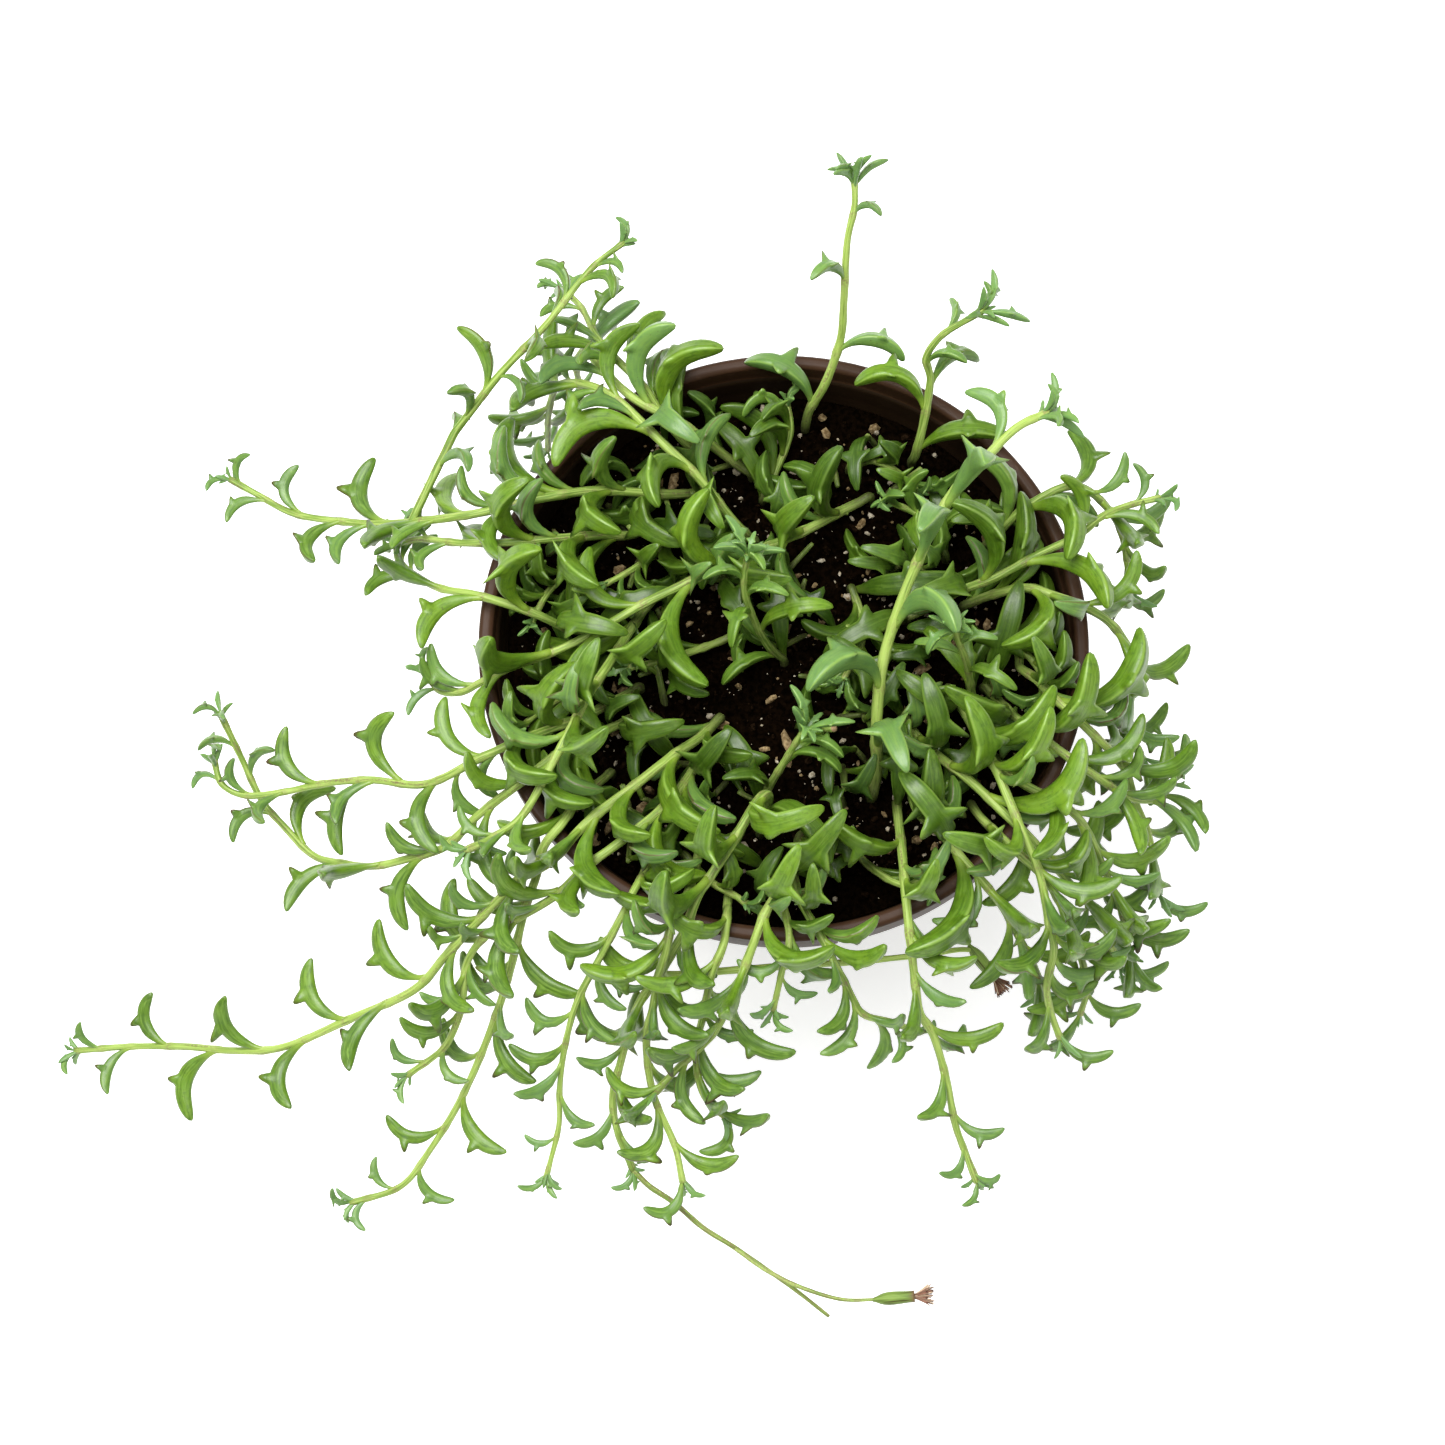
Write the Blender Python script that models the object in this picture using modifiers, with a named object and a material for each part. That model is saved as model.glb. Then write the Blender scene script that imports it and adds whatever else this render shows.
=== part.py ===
"""A string of dolphins: a trailing succulent with dolphin-shaped leaves, in a round brown pot."""

import math
import random

import bmesh
import bpy
import numpy as np

# Everything is in millimetres until a mesh is made
MM = 0.001
NAME = "Potted string of dolphins"

# Pot
RIM_TOP = 108.0
RIM_RADIUS = 77.0
RIM_WIDTH = 4.0
LIP_DROP = 12.0
BASE_RADIUS = 53.0
FLOOR = 2.6
POT_STEPS = 36
DRAIN_HOLES = 5
DRAIN_RADIUS = 4.5
DRAIN_CIRCLE = 34.0
NOTCHES = (-77.0, 43.0, 163.0)
NOTCH_WIDTH = 8.0
NOTCH_HEIGHT = 5.0

# Soil
SOIL_TOP = 93.0
GAP = 0.3
ROOT_DEPTH = 10.0
ROOT_EXIT = 95.6
ROOT_SPACING = 6.6
ROOT_LIMIT = 62.0

# Line of sight that the stem routes are laid out along, and where their plane starts
EYE = np.array((-15.4, -241.3, 929.0))
START = np.array((0.0, -3.1, 0.0))

# Leaves: widths and fins as shares of a leaf's length
WIDTH_SHARE = 0.19
FIN_AT = 0.58
FIN_SHARE = 0.14
FIN_DROP = 0.35
SIZE = 1.18
SIZE_IN_POT = 1.26
SPARSE = 1.22

# Patches of bare soil that leaves leave open along the line of sight: place and radius
BARE = np.array((
    (-3, -11, 7.9), (9, 26, 7.7), (4, -34, 6.9), (18, -62, 6.4), (-21, 9, 6.1), (15, 63, 5.9),
    (7, 57, 5.9), (23, -41, 5.9), (-67, 6, 5.4), (23, 64, 4.8), (-12, -12, 4.8), (-1, -21, 4.8),
    (-6, -47, 4.8), (-33, -7, 4.8), (-43, -30, 4.8), (25, 35, 4.6), (-18, -1, 4.6), (18, -20, 4.6),
    (25, -61, 4.6), (-10, 43, 4.6), (-39, 55, 4.6), (7, 69, 4.3), (16, 21, 4.3), (-13, -37, 4.3),
    (-27, 48, 4.3), (51, 13, 4.3), (-17, -64, 4.3), (-39, -54, 4.1), (-44, 26, 4.1), (45, 28, 4.1),
    (60, -3, 4.1), (41, 54, 4.1), (51, -32, 4.1), (-22, -14, 3.8), (-2, -27, 3.8), (6, -1, 3.8),
    (53, 46, 3.8), (45, -43, 3.8), (33, -49, 3.8), (33, 62, 3.6), (20, 40, 3.6), (-14, 49, 3.6),
    (-6, 37, 3.6), (-35, -36, 3.6), (-44, -45, 3.6), (-10, -59, 3.6), (43, -20, 3.6), (24, 14, 3.3),
    (15, 48, 3.3), (-63, -11, 3.3), (-58, 38, 3.3), (40, -2, 3.3), (24, 47, 3.1),
))

# Least room between stems, and how finely a stem's line and section are cut into straight runs
CLEAR = 0.4
SLACK = 0.55
MOST_HIDING = 0.08
STEM_SIDES = 4

# Each stem: radius, leaf length, leaf spacing, bare length at the root, then the points of
# its route, laid out on the plane of the rim, each with its own height
STEMS = {
    "01": (1.25, 20, 10.5, 34, ((-8, 46, 92), (-13, 51, 99), (-22, 58, 108), (-35, 67, 114),
        (-47, 78, 113), (-51, 81, 104), (-53, 77, 88), (-52, 71, 66))),
    "02": (1.25, 20, 10.5, 12, ((-21, 41, 92), (-31, 42, 100), (-47, 43, 108), (-61, 41, 113),
        (-77, 37, 114), (-90, 35, 108), (-102, 34, 100), (-115, 35, 94), (-125, 37, 90),
        (-134, 42, 88), (-141, 46, 87))),
    "03": (1.2, 20, 10, 14, ((-33, 32, 92), (-39, 31, 100), (-46, 31, 106), (-59, 30, 112),
        (-72, 29, 113), (-83, 29, 109), (-92, 30, 101), (-98, 28, 93))),
    "04": (1.2, 20, 10, 14, ((-46, 3, 92), (-56, 7, 104), (-65, 11, 112), (-77, 15, 112),
        (-87, 17, 106), (-94, 21, 98), (-98, 26, 92), (-97, 32, 88))),
    "05": (1.3, 21, 10.5, 24, ((22, 40, 92), (14, 37, 98), (7, 33, 104), (-8, 26, 112),
        (-23, 19, 115), (-35, 13, 115), (-45, 7, 114), (-56, 1, 114), (-71, -5, 113),
        (-80, -10, 108), (-86, -10, 102), (-90, -5, 99))),
    "06": (1.2, 19, 10, 14, ((-36, -10, 92), (-49, -16, 104), (-64, -22, 114), (-75, -27, 113),
        (-89, -34, 105), (-103, -33, 97), (-115, -34, 90), (-124, -36, 86), (-134, -37, 84),
        (-140, -34, 84), (-142, -28, 85))),
    "07": (1.2, 18, 10, 14, ((-36, -17, 92), (-46, -21, 104), (-56, -26, 112), (-66, -34, 112),
        (-76, -42, 105), (-84, -50, 98), (-93, -53, 92), (-102, -55, 86), (-111, -54, 82),
        (-117, -52, 79), (-124, -45, 77), (-130, -38, 76), (-135, -28, 80), (-141, -16, 86))),
    "08": (1.3, 20, 11, 12, ((-32, 14, 92), (-36, 10, 101), (-44, -3, 116), (-49, -11, 122),
        (-52, -17, 124), (-57, -27, 124), (-65, -42, 120), (-73, -48, 116), (-79, -51, 112))),
    "09": (1.3, 20, 11, 20, ((-16, -18, 92), (-21, -22, 102), (-28, -27, 110), (-38, -35, 114),
        (-48, -43, 114), (-57, -52, 110), (-66, -59, 104), (-74, -67, 96), (-83, -77, 86),
        (-91, -86, 76), (-106, -93, 64), (-122, -100, 52), (-134, -101, 45), (-146, -100, 38),
        (-160, -100, 30), (-173, -101, 24))),
    "10": (1.25, 20, 10.5, 14, ((-19, -25, 92), (-25, -34, 104), (-30, -40, 111),
        (-41, -49, 113), (-49, -55, 111), (-56, -62, 106), (-64, -67, 100), (-73, -72, 92),
        (-78, -79, 84), (-79, -89, 76), (-81, -96, 70), (-84, -101, 66), (-92, -107, 60))),
    "11": (1.2, 18, 11, 20, ((-43, -32, 92), (-51, -38, 106), (-55, -44, 112), (-59, -50, 110),
        (-61, -55, 107), (-64, -65, 98), (-67, -79, 86), (-70, -90, 76), (-75, -104, 64),
        (-80, -115, 54), (-86, -125, 46), (-93, -134, 40), (-105, -138, 36))),
    "12": (1.0, 15, 13, 26, ((-32, -51, 92), (-36, -59, 106), (-40, -67, 112), (-45, -77, 106),
        (-51, -89, 96), (-54, -101, 86), (-55, -111, 78), (-55, -119, 72), (-57, -128, 66),
        (-58, -132, 64))),
    "13": (1.35, 21, 10.5, 22, ((-6, -47, 92), (-5, -42, 102), (-4, -37, 112), (-7, -39, 117),
        (-13, -49, 119), (-18, -57, 119), (-23, -65, 116), (-30, -81, 104), (-36, -91, 96),
        (-38, -95, 91), (-40, -103, 84), (-42, -112, 78), (-41, -120, 73), (-37, -130, 68))),
    "14": (1.25, 21, 10, 14, ((4, -48, 92), (2, -53, 104), (-1, -60, 114), (-5, -67, 117),
        (-8, -75, 115), (-13, -88, 106), (-18, -97, 98), (-26, -105, 90), (-32, -111, 86))),
    "15": (1.2, 19, 11, 16, ((1, -55, 92), (3, -61, 104), (5, -66, 111), (9, -73, 113),
        (13, -81, 108), (16, -87, 102), (19, -92, 98), (26, -94, 92), (31, -96, 88))),
    "16": (1.1, 20, 10, 12, ((-4, -56, 92), (-1, -63, 105), (1, -73, 113), (-1, -82, 106),
        (-3, -91, 98))),
    "17": (1.25, 18, 11, 14, ((27, -38, 92), (28, -41, 98), (29, -51, 108), (30, -65, 114),
        (31, -76, 112), (32, -86, 106), (33, -92, 101), (36, -97, 97), (39, -108, 90),
        (41, -119, 84), (43, -125, 80), (46, -133, 76))),
    "18": (1.2, 22, 10.5, 14, ((29, -36, 92), (33, -41, 101), (39, -47, 108), (43, -52, 112),
        (49, -59, 112), (54, -66, 106), (57, -72, 98), (61, -80, 88), (63, -86, 78))),
    "19": (1.25, 22, 10.5, 12, ((30, -18, 92), (35, -24, 104), (46, -33, 112), (55, -42, 114),
        (61, -48, 110), (65, -53, 104), (71, -60, 96), (76, -66, 88), (80, -74, 78),
        (82, -80, 70))),
    "20": (1.3, 20, 11, 22, ((41, -10, 93), (46, -17, 108), (50, -25, 116), (53, -31, 120),
        (58, -44, 121), (63, -57, 117), (65, -70, 110), (66, -76, 105), (64, -85, 97),
        (65, -92, 90), (67, -98, 86))),
    "21": (1.25, 22, 10.5, 12, ((50, -10, 92), (57, -16, 104), (63, -21, 112), (72, -28, 113),
        (79, -33, 108), (85, -37, 100), (91, -38, 92), (96, -34, 86))),
    "22": (1.25, 21, 10.5, 12, ((31, 8, 92), (37, 12, 100), (44, 16, 107), (54, 20, 113),
        (65, 26, 116), (75, 31, 115), (81, 36, 113), (88, 39, 112), (96, 41, 112))),
    "23": (1.25, 20, 10.5, 12, ((45, 11, 92), (52, 15, 102), (61, 17, 110), (68, 15, 113),
        (76, 12, 112), (83, 7, 106), (88, -2, 96), (87, -11, 86), (86, -19, 76), (89, -27, 66))),
    "24": (1.5, 22, 14, 30, ((24, -38, 92), (23, -30, 102), (23, -20, 114), (24, -8, 122),
        (26, 2, 128), (30, 14, 135), (34, 24, 140), (39, 35, 144), (45, 45, 148), (52, 52, 150),
        (60, 60, 151), (68, 64, 150))),
    "25": (1.2, 17, 11, 22, ((33, 50, 92), (34, 53, 104), (36, 61, 114), (38, 73, 124),
        (37, 79, 130), (41, 85, 136), (47, 89, 140), (52, 92, 142))),
    "26": (1.2, 17, 16, 18, ((6, 62, 92), (7, 65, 104), (11, 72, 114), (15, 84, 124),
        (16, 95, 134), (17, 111, 146), (19, 121, 152), (19, 129, 156))),
    "27": (1.1, 18, 8, 8, ((0, -3, 92), (-4, 2, 104), (-8, 10, 120), (-10, 18, 132),
        (-9, 26, 140))),
    "28": (1.1, 17, 8, 10, ((47, -16, 92), (47, -10, 106), (46, -3, 122), (44, 3, 134),
        (43, 7, 140))),
    "29": (1.2, 20, 10.5, 20, ((-7, 28, 92), (-12, 34, 106), (-22, 47, 117), (-30, 55, 120),
        (-43, 68, 120), (-52, 72, 115), (-58, 71, 104), (-60, 63, 84), (-60, 54, 58))),
    "30": (1.1, 23, 7, 4, ((-53, 24, 92), (-56, 20, 99), (-60, 15, 105), (-63, 8, 108))),
    "31": (1.1, 23, 7, 4, ((-24, 35, 92), (-30, 28, 99), (-38, 22, 103), (-45, 18, 106))),
    "32": (1.1, 22, 7, 4, ((-13, 3, 92), (-21, 1, 98), (-30, -2, 103), (-39, -4, 107))),
    "33": (1.1, 24, 7, 4, ((17, 16, 92), (20, 8, 98), (19, 1, 103), (15, -7, 107))),
    "34": (1.1, 23, 7, 4, ((41, 24, 92), (39, 30, 100), (35, 36, 105), (27, 40, 108))),
    "35": (1.1, 24, 8, 4, ((-5, 40, 92), (-1, 50, 98), (2, 59, 103), (1, 67, 107))),
    "36": (1.1, 22, 8, 4, ((17, 48, 92), (23, 51, 98), (29, 48, 102), (34, 43, 106))),
    "37": (1.1, 24, 7, 4, ((51, 3, 92), (57, 1, 99), (63, -5, 104), (65, -12, 107))),
    "38": (1.1, 23, 8, 4, ((16, -51, 92), (21, -55, 98), (27, -59, 104), (35, -61, 108))),
    "39": (1.1, 22, 8, 4, ((-23, -51, 92), (-21, -56, 98), (-16, -61, 104), (-10, -65, 108))),
    "40": (1.1, 23, 7, 4, ((-49, -12, 92), (-56, -12, 100), (-62, -16, 105), (-67, -21, 108))),
    "41": (1.2, 20, 10, 14, ((51, 27, 92), (54, 31, 104), (61, 38, 112), (72, 44, 115),
        (79, 42, 110), (85, 34, 101), (87, 24, 90), (87, 16, 82))),
    "42": (1.2, 21, 10.5, 14, ((52, -28, 92), (55, -31, 104), (61, -35, 112), (70, -40, 114),
        (75, -46, 106), (79, -56, 94), (83, -67, 82), (84, -77, 72))),
    "43": (1.2, 21, 10.5, 14, ((58, 1, 92), (61, -4, 104), (67, -11, 112), (76, -20, 114),
        (84, -29, 104), (88, -39, 93), (91, -51, 82), (92, -62, 74))),
    "44": (1.15, 20, 10, 12, ((46, -40, 92), (49, -43, 104), (55, -49, 112), (64, -58, 114),
        (69, -67, 106), (72, -76, 96), (74, -85, 86), (72, -92, 78))),
    "45": (1.15, 20, 10, 14, ((-22, 52, 92), (-25, 56, 104), (-31, 64, 112), (-42, 76, 115),
        (-48, 85, 109), (-52, 93, 102), (-57, 98, 97))),
    "46": (1.2, 20, 10.5, 14, ((-22, -50, 92), (-23, -59, 104), (-26, -67, 112), (-29, -76, 112),
        (-32, -86, 102), (-34, -98, 92), (-32, -112, 84), (-27, -124, 78), (-25, -133, 74))),
    "47": (1.15, 20, 10, 12, ((-14, -56, 92), (-14, -65, 104), (-15, -74, 112), (-18, -82, 109),
        (-20, -92, 99), (-22, -102, 90), (-20, -112, 83), (-15, -117, 79))),
    "48": (1.1, 20, 9, 10, ((-6, -40, 92), (-4, -35, 100), (-1, -30, 110), (2, -25, 118),
        (5, -20, 125))),
}

# Stems whose leaves stay large up to the tip
LARGE_TO_TIP = ("14", "18", "19", "20", "21", "23", "41", "42", "43", "44", "46", "47")

# Shoots that grow from another stem: the stem they leave, then the same entries
SHOOTS = {
    "02": (1.15, 18, 13, 40, ((-94, 44, 105), (-85, 57, 113), (-73, 74, 122), (-61, 88, 130),
        (-50, 103, 134), (-41, 111, 136))),
}

# Bare flower stalks, all on the one flowering stem, and the head that ends two of them
FLOWERING = "13"
STALKS = (
    (0.75, ((-37, -130, 68), (-33, -134, 67), (-27, -138, 66), (-20, -144, 64), (-12, -149, 62),
        (1, -158, 58), (10, -165, 55))),
    (0.65, ((-12, -149, 62), (-5, -154, 63), (3, -158, 64), (13, -161, 65), (22, -161, 66))),
    (0.75, ((-30, -81, 104), (-29, -82, 99), (-24, -82, 96), (-12, -81, 94), (1, -80, 93),
        (17, -79, 92), (27, -78, 91), (36, -77, 90), (42, -76, 89), (46, -76, 88))),
)
HEADS = (
    ((22, -161, 66), (34, -160, 67)),
    ((46, -76, 88), (52, -84, 85)),
)
HEAD_LENGTH = 9.0
HEAD_RADIUS = 1.6
TUFT_LENGTH = 5.0


def placed(point):
    """A route point moved to its own height along the line of sight."""
    share = (EYE[2] - point[2]) / (EYE[2] - RIM_TOP)
    return EYE + (START + (point[0], point[1], RIM_TOP) - EYE) * share


def resampled(points, step):
    """The same line with its points at even steps."""
    lengths = np.linalg.norm(np.diff(points, axis=0), axis=1)
    along = np.concatenate([[0.0], np.cumsum(lengths)])
    count = max(3, int(round(along[-1] / step)) + 1)
    wanted = np.linspace(0.0, along[-1], count)
    return np.stack([np.interp(wanted, along, points[:, axis]) for axis in range(3)], axis=1)


def smooth(points, step):
    """A smooth curve through the points."""
    ends = np.vstack([2 * points[0] - points[1], points, 2 * points[-1] - points[-2]])
    made = []
    for index in range(1, len(ends) - 2):
        before, here, there, after = ends[index - 1 : index + 3]
        for t in np.linspace(0.0, 1.0, 12, endpoint=False):
            made.append(
                0.5 * (2 * here + (there - before) * t
                    + (2 * before - 5 * here + 4 * there - after) * t * t
                    + (3 * here - before - 3 * there + after) * t * t * t)
            )
    made.append(ends[-2])
    return resampled(np.array(made), step)


def spread_roots(roots):
    """Root points moved apart, so that each has soil round it."""
    roots = np.array(roots)
    for _ in range(80):
        apart = roots[:, None, :2] - roots[None, :, :2]
        gaps = np.linalg.norm(apart, axis=2) + np.eye(len(roots)) * 100
        push = np.where(gaps < ROOT_SPACING, (ROOT_SPACING - gaps) / gaps, 0.0)
        roots[:, :2] += 0.3 * (apart * push[:, :, None]).sum(axis=1)
        reach = np.linalg.norm(roots[:, :2], axis=1)
        roots[:, :2] *= np.minimum(1.0, ROOT_LIMIT / reach)[:, None]
    return roots


# The pot's rim and wall, as thick lines in its section: radius and height at both ends, thickness
POT_LINES = (
    (RIM_RADIUS - 2.0, RIM_TOP - 2.0, RIM_RADIUS - 2.2, RIM_TOP - LIP_DROP + 1.0, 2.9),
    (RIM_RADIUS - 4.6, RIM_TOP - LIP_DROP, BASE_RADIUS - 0.5, 2.0, 1.5),
)


def pot_push(points, sizes):
    """How far and which way each point must move to clear the pot, the soil and the floor."""
    reach = np.linalg.norm(points[:, :2], axis=1) + 1e-6
    outward = points[:, :2] / reach[:, None]
    moved = np.zeros_like(points)
    for r0, z0, r1, z1, thick in POT_LINES:
        line = np.array((r1 - r0, z1 - z0))
        offset = np.stack([reach - r0, points[:, 2] - z0], axis=1)
        share = np.clip(offset @ line / (line @ line), 0.0, 1.0)
        away = offset - share[:, None] * line
        gap = np.linalg.norm(away, axis=1) + 1e-6
        short = np.maximum(0.0, thick + sizes + CLEAR - gap)
        step = away / gap[:, None] * short[:, None]
        moved[:, :2] += outward * step[:, :1]
        moved[:, 2] += step[:, 1]
    inside = reach < RIM_RADIUS - 4.0
    ground = np.where(inside, SOIL_TOP + 0.8, 0.6) + sizes
    moved[:, 2] = np.maximum(moved[:, 2], ground - points[:, 2])
    return moved


def ease_apart(lines, sizes, groups, rounds=90):
    """Stems moved, mostly up and down, until none crosses another, the pot or the soil."""
    starts = np.cumsum([0] + [len(line) for line in lines])
    points = np.vstack(lines)
    size = np.concatenate([np.full(len(line), s) for line, s in zip(lines, sizes)])
    group = np.concatenate([np.full(len(line), g) for line, g in zip(lines, groups)])
    free = np.ones(len(points))
    for begin in starts[:-1]:
        free[begin : begin + 3] = (0.0, 0.35, 0.75)
    for turn in range(rounds):
        if turn % 15 == 0:
            near = np.linalg.norm(points[:, None] - points[None], axis=2) < 13.0
            near &= group[:, None] != group[None]
            one, two = np.nonzero(np.triu(near))
        apart = points[one] - points[two]
        gap = np.linalg.norm(apart, axis=1) + 1e-6
        short = np.maximum(0.0, size[one] + size[two] + 1.5 - gap)
        way = apart * (0.45, 0.45, 1.0)
        way[:, 2] += np.where(one > two, 0.01, -0.01)
        way /= np.linalg.norm(way, axis=1)[:, None]
        push = np.zeros_like(points)
        np.add.at(push, one, way * short[:, None] * 0.4)
        np.add.at(push, two, -way * short[:, None] * 0.4)
        for begin, end in zip(starts[:-1], starts[1:]):
            part = np.pad(push[begin:end], ((2, 2), (0, 0)), mode="edge")
            push[begin:end] = (part[:-4] + 2 * part[1:-3] + 3 * part[2:-2] + 2 * part[3:-1]
                + part[4:]) / 6.0
        points += push * free[:, None]
        points += pot_push(points, size + 0.8) * free[:, None] * 0.8
    return [points[begin:end] for begin, end in zip(starts[:-1], starts[1:])]


def simplified(points, slack):
    """Indices of the points that keep the line within the slack."""
    keep = [0, len(points) - 1]
    stack = [(0, len(points) - 1)]
    while stack:
        first, last = stack.pop()
        if last - first < 2:
            continue
        line = points[last] - points[first]
        line /= np.linalg.norm(line) + 1e-9
        offset = points[first + 1 : last] - points[first]
        away = np.linalg.norm(offset - np.outer(offset @ line, line), axis=1)
        worst = int(away.argmax())
        if away[worst] > slack:
            middle = first + 1 + worst
            keep.append(middle)
            stack += [(first, middle), (middle, last)]
    return sorted(keep)


def stations(line):
    """Indices of the points where a stem's straight runs meet. Its first run is kept."""
    return [0] + [index + 1 for index in simplified(line[1:], SLACK)]


def unit(vector):
    return vector / (np.linalg.norm(vector) + 1e-12)


def nearest_on(corners, point):
    """The nearest place on a line of straight runs."""
    start = corners[:-1]
    run = corners[1:] - start
    share = np.clip(((point - start) * run).sum(axis=1) / (run * run).sum(axis=1), 0.0, 1.0)
    places = start + run * share[:, None]
    return places[np.linalg.norm(places - point, axis=1).argmin()]


def frame_on(line, along, place):
    """Point, forward and upward directions of a stem at a length along it."""
    index = int(np.clip(np.searchsorted(along, place) - 1, 0, len(line) - 2))
    share = (place - along[index]) / (along[index + 1] - along[index] + 1e-9)
    point = line[index] + (line[index + 1] - line[index]) * share
    low = max(0, index - 1)
    high = min(len(line) - 1, index + 2)
    forward = unit(line[high] - line[low])
    reach = max(20.0, math.hypot(point[0], point[1]))
    outside = 0.7 if reach > RIM_RADIUS else 0.15
    up = np.array((outside * point[0] / reach, outside * point[1] / reach, 1.0))
    if abs(forward[2]) > 0.85 and forward[2] > 0:
        up = np.array((0.2, -1.0, 0.2))
    up = unit(up - forward * (up @ forward))
    return point, forward, up


def leaf_axis(leaf, shares):
    """Centre, forward, inner and sideways directions of a leaf at shares of its length."""
    root, forward, outward, length, lean, bend, roll = leaf
    shares = np.asarray(shares, float)
    angle = lean + bend * shares
    ahead = length / bend * (np.sin(angle) - math.sin(lean))
    aside = length / bend * (math.cos(lean) - np.cos(angle))
    centre = root + np.outer(ahead, forward) + np.outer(aside, outward)
    way = np.outer(np.cos(angle), forward) + np.outer(np.sin(angle), outward)
    inner = np.outer(-np.sin(angle), forward) + np.outer(np.cos(angle), outward)
    side = np.cross(way, inner)
    turn = (roll * shares)[:, None]
    return centre, way, inner * np.cos(turn) + side * np.sin(turn), (
        side * np.cos(turn) - inner * np.sin(turn))


def leaf_width(length, shares):
    """Half the width of a leaf at shares of its length."""
    known = (0.0, 0.12, 0.25, 0.42, 0.6, 0.75, 0.88, 0.96, 1.0)
    value = (0.22, 0.33, 0.54, 0.87, 1.0, 0.88, 0.62, 0.34, 0.12)
    return 0.5 * WIDTH_SHARE * length * np.interp(shares, known, value)


def fin_tips(leaf, reach=1.0):
    """The ends of the two fins, which stand out sideways and away from the hollow side."""
    at, way, inner, side = (part[0] for part in leaf_axis(leaf, (FIN_AT,)))
    half = leaf_width(leaf[3], FIN_AT)
    fin = FIN_SHARE * leaf[3] * reach
    return [at + side * turn * (0.85 * half + fin) - inner * (0.55 * half + FIN_DROP * fin)
        - way * 0.2 * fin for turn in (-1, 1)]


CHAIN = np.array((0.16, 0.27, 0.38, 0.49, 0.6, 0.7, 0.79, 0.87, 0.94, 0.99))


def leaf_chain(leaf):
    """Balls that cover a leaf and its two fins."""
    length = leaf[3]
    fin = FIN_SHARE * length
    balls = [leaf_axis(leaf, CHAIN)[0]]
    sizes = [leaf_width(length, CHAIN) * 1.12]
    for share, ball in ((0.4, 0.36), (0.9, 0.2)):
        balls.append(np.array(fin_tips(leaf, share)))
        sizes.append(np.full(2, fin * ball))
    return np.vstack(balls), np.concatenate(sizes)


class Room:
    """The space already taken, as balls that each belong to a stem."""

    def __init__(self):
        self.points = np.zeros((0, 3))
        self.sizes = np.zeros(0)
        self.owners = np.zeros(0, int)
        self.kinds = np.zeros(0, int)

    def take(self, points, sizes, owner, kind):
        self.points = np.vstack([self.points, points])
        self.sizes = np.concatenate([self.sizes, np.broadcast_to(sizes, len(points))])
        self.owners = np.concatenate([self.owners, np.full(len(points), owner)])
        self.kinds = np.concatenate([self.kinds, np.full(len(points), kind)])

    def worst(self, points, sizes, owner, root):
        """The least room left round the balls: between stems, and inside the same stem."""
        close = np.linalg.norm(self.points - root, axis=1) < 46.0
        taken = self.points[close]
        size = self.sizes[close]
        mine = self.owners[close] == owner
        gap = np.linalg.norm(points[:, None] - taken[None], axis=2)
        gap -= sizes[:, None] + size[None]
        others = gap[:, ~mine].min() if (~mine).any() else 9.0
        same = gap[2:, mine].min() if mine.any() else 9.0
        return others, same


def hiding(points):
    """The share of the points that hide a patch of bare soil."""
    share = (SOIL_TOP - EYE[2]) / (points[:, 2] - EYE[2])
    seen = (EYE + (points - EYE) * share[:, None])[:, :2]
    away = np.linalg.norm(seen[:, None] - BARE[None, :, :2], axis=2)
    return (away < BARE[:, 2] + 0.6).any(axis=1).mean()


TURNS = (0, 13, -13, 27, -27, 42, -42, 60, -60, 80, -80, 105, -105, 135, -135, 165)


def try_leaf(room, owner, spot, sunk, roll, length, dice, lean=None):
    """The first way to set a leaf that has room, or None."""
    point, forward, up = spot
    across = np.cross(forward, up)
    lean = math.radians(lean or dice.uniform(14, 30))
    bend = math.radians(dice.uniform(86, 128))
    twist = math.radians(dice.uniform(-22, 22))
    for size in (1.0, 0.86, 0.72):
        best = None
        for bent in (1.0, 0.75, 1.2):
            for turn in TURNS:
                angle = roll + math.radians(turn)
                outward = math.cos(angle) * up + math.sin(angle) * across
                root = point + outward * sunk
                leaf = (root, forward, outward, length * size, lean, bend * bent, twist)
                balls, sizes = leaf_chain(leaf)
                if np.abs(pot_push(balls, sizes)).max() > 0.01 or hiding(balls) > MOST_HIDING:
                    continue
                others, same = room.worst(balls, sizes, owner, point)
                if others < CLEAR:
                    continue
                if same > 0.0:
                    return leaf, balls, sizes
                if best is None or same > best[0]:
                    best = (same, leaf, balls, sizes)
        if best is not None and best[0] > -1.0:
            return best[1:]
    return None


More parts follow.
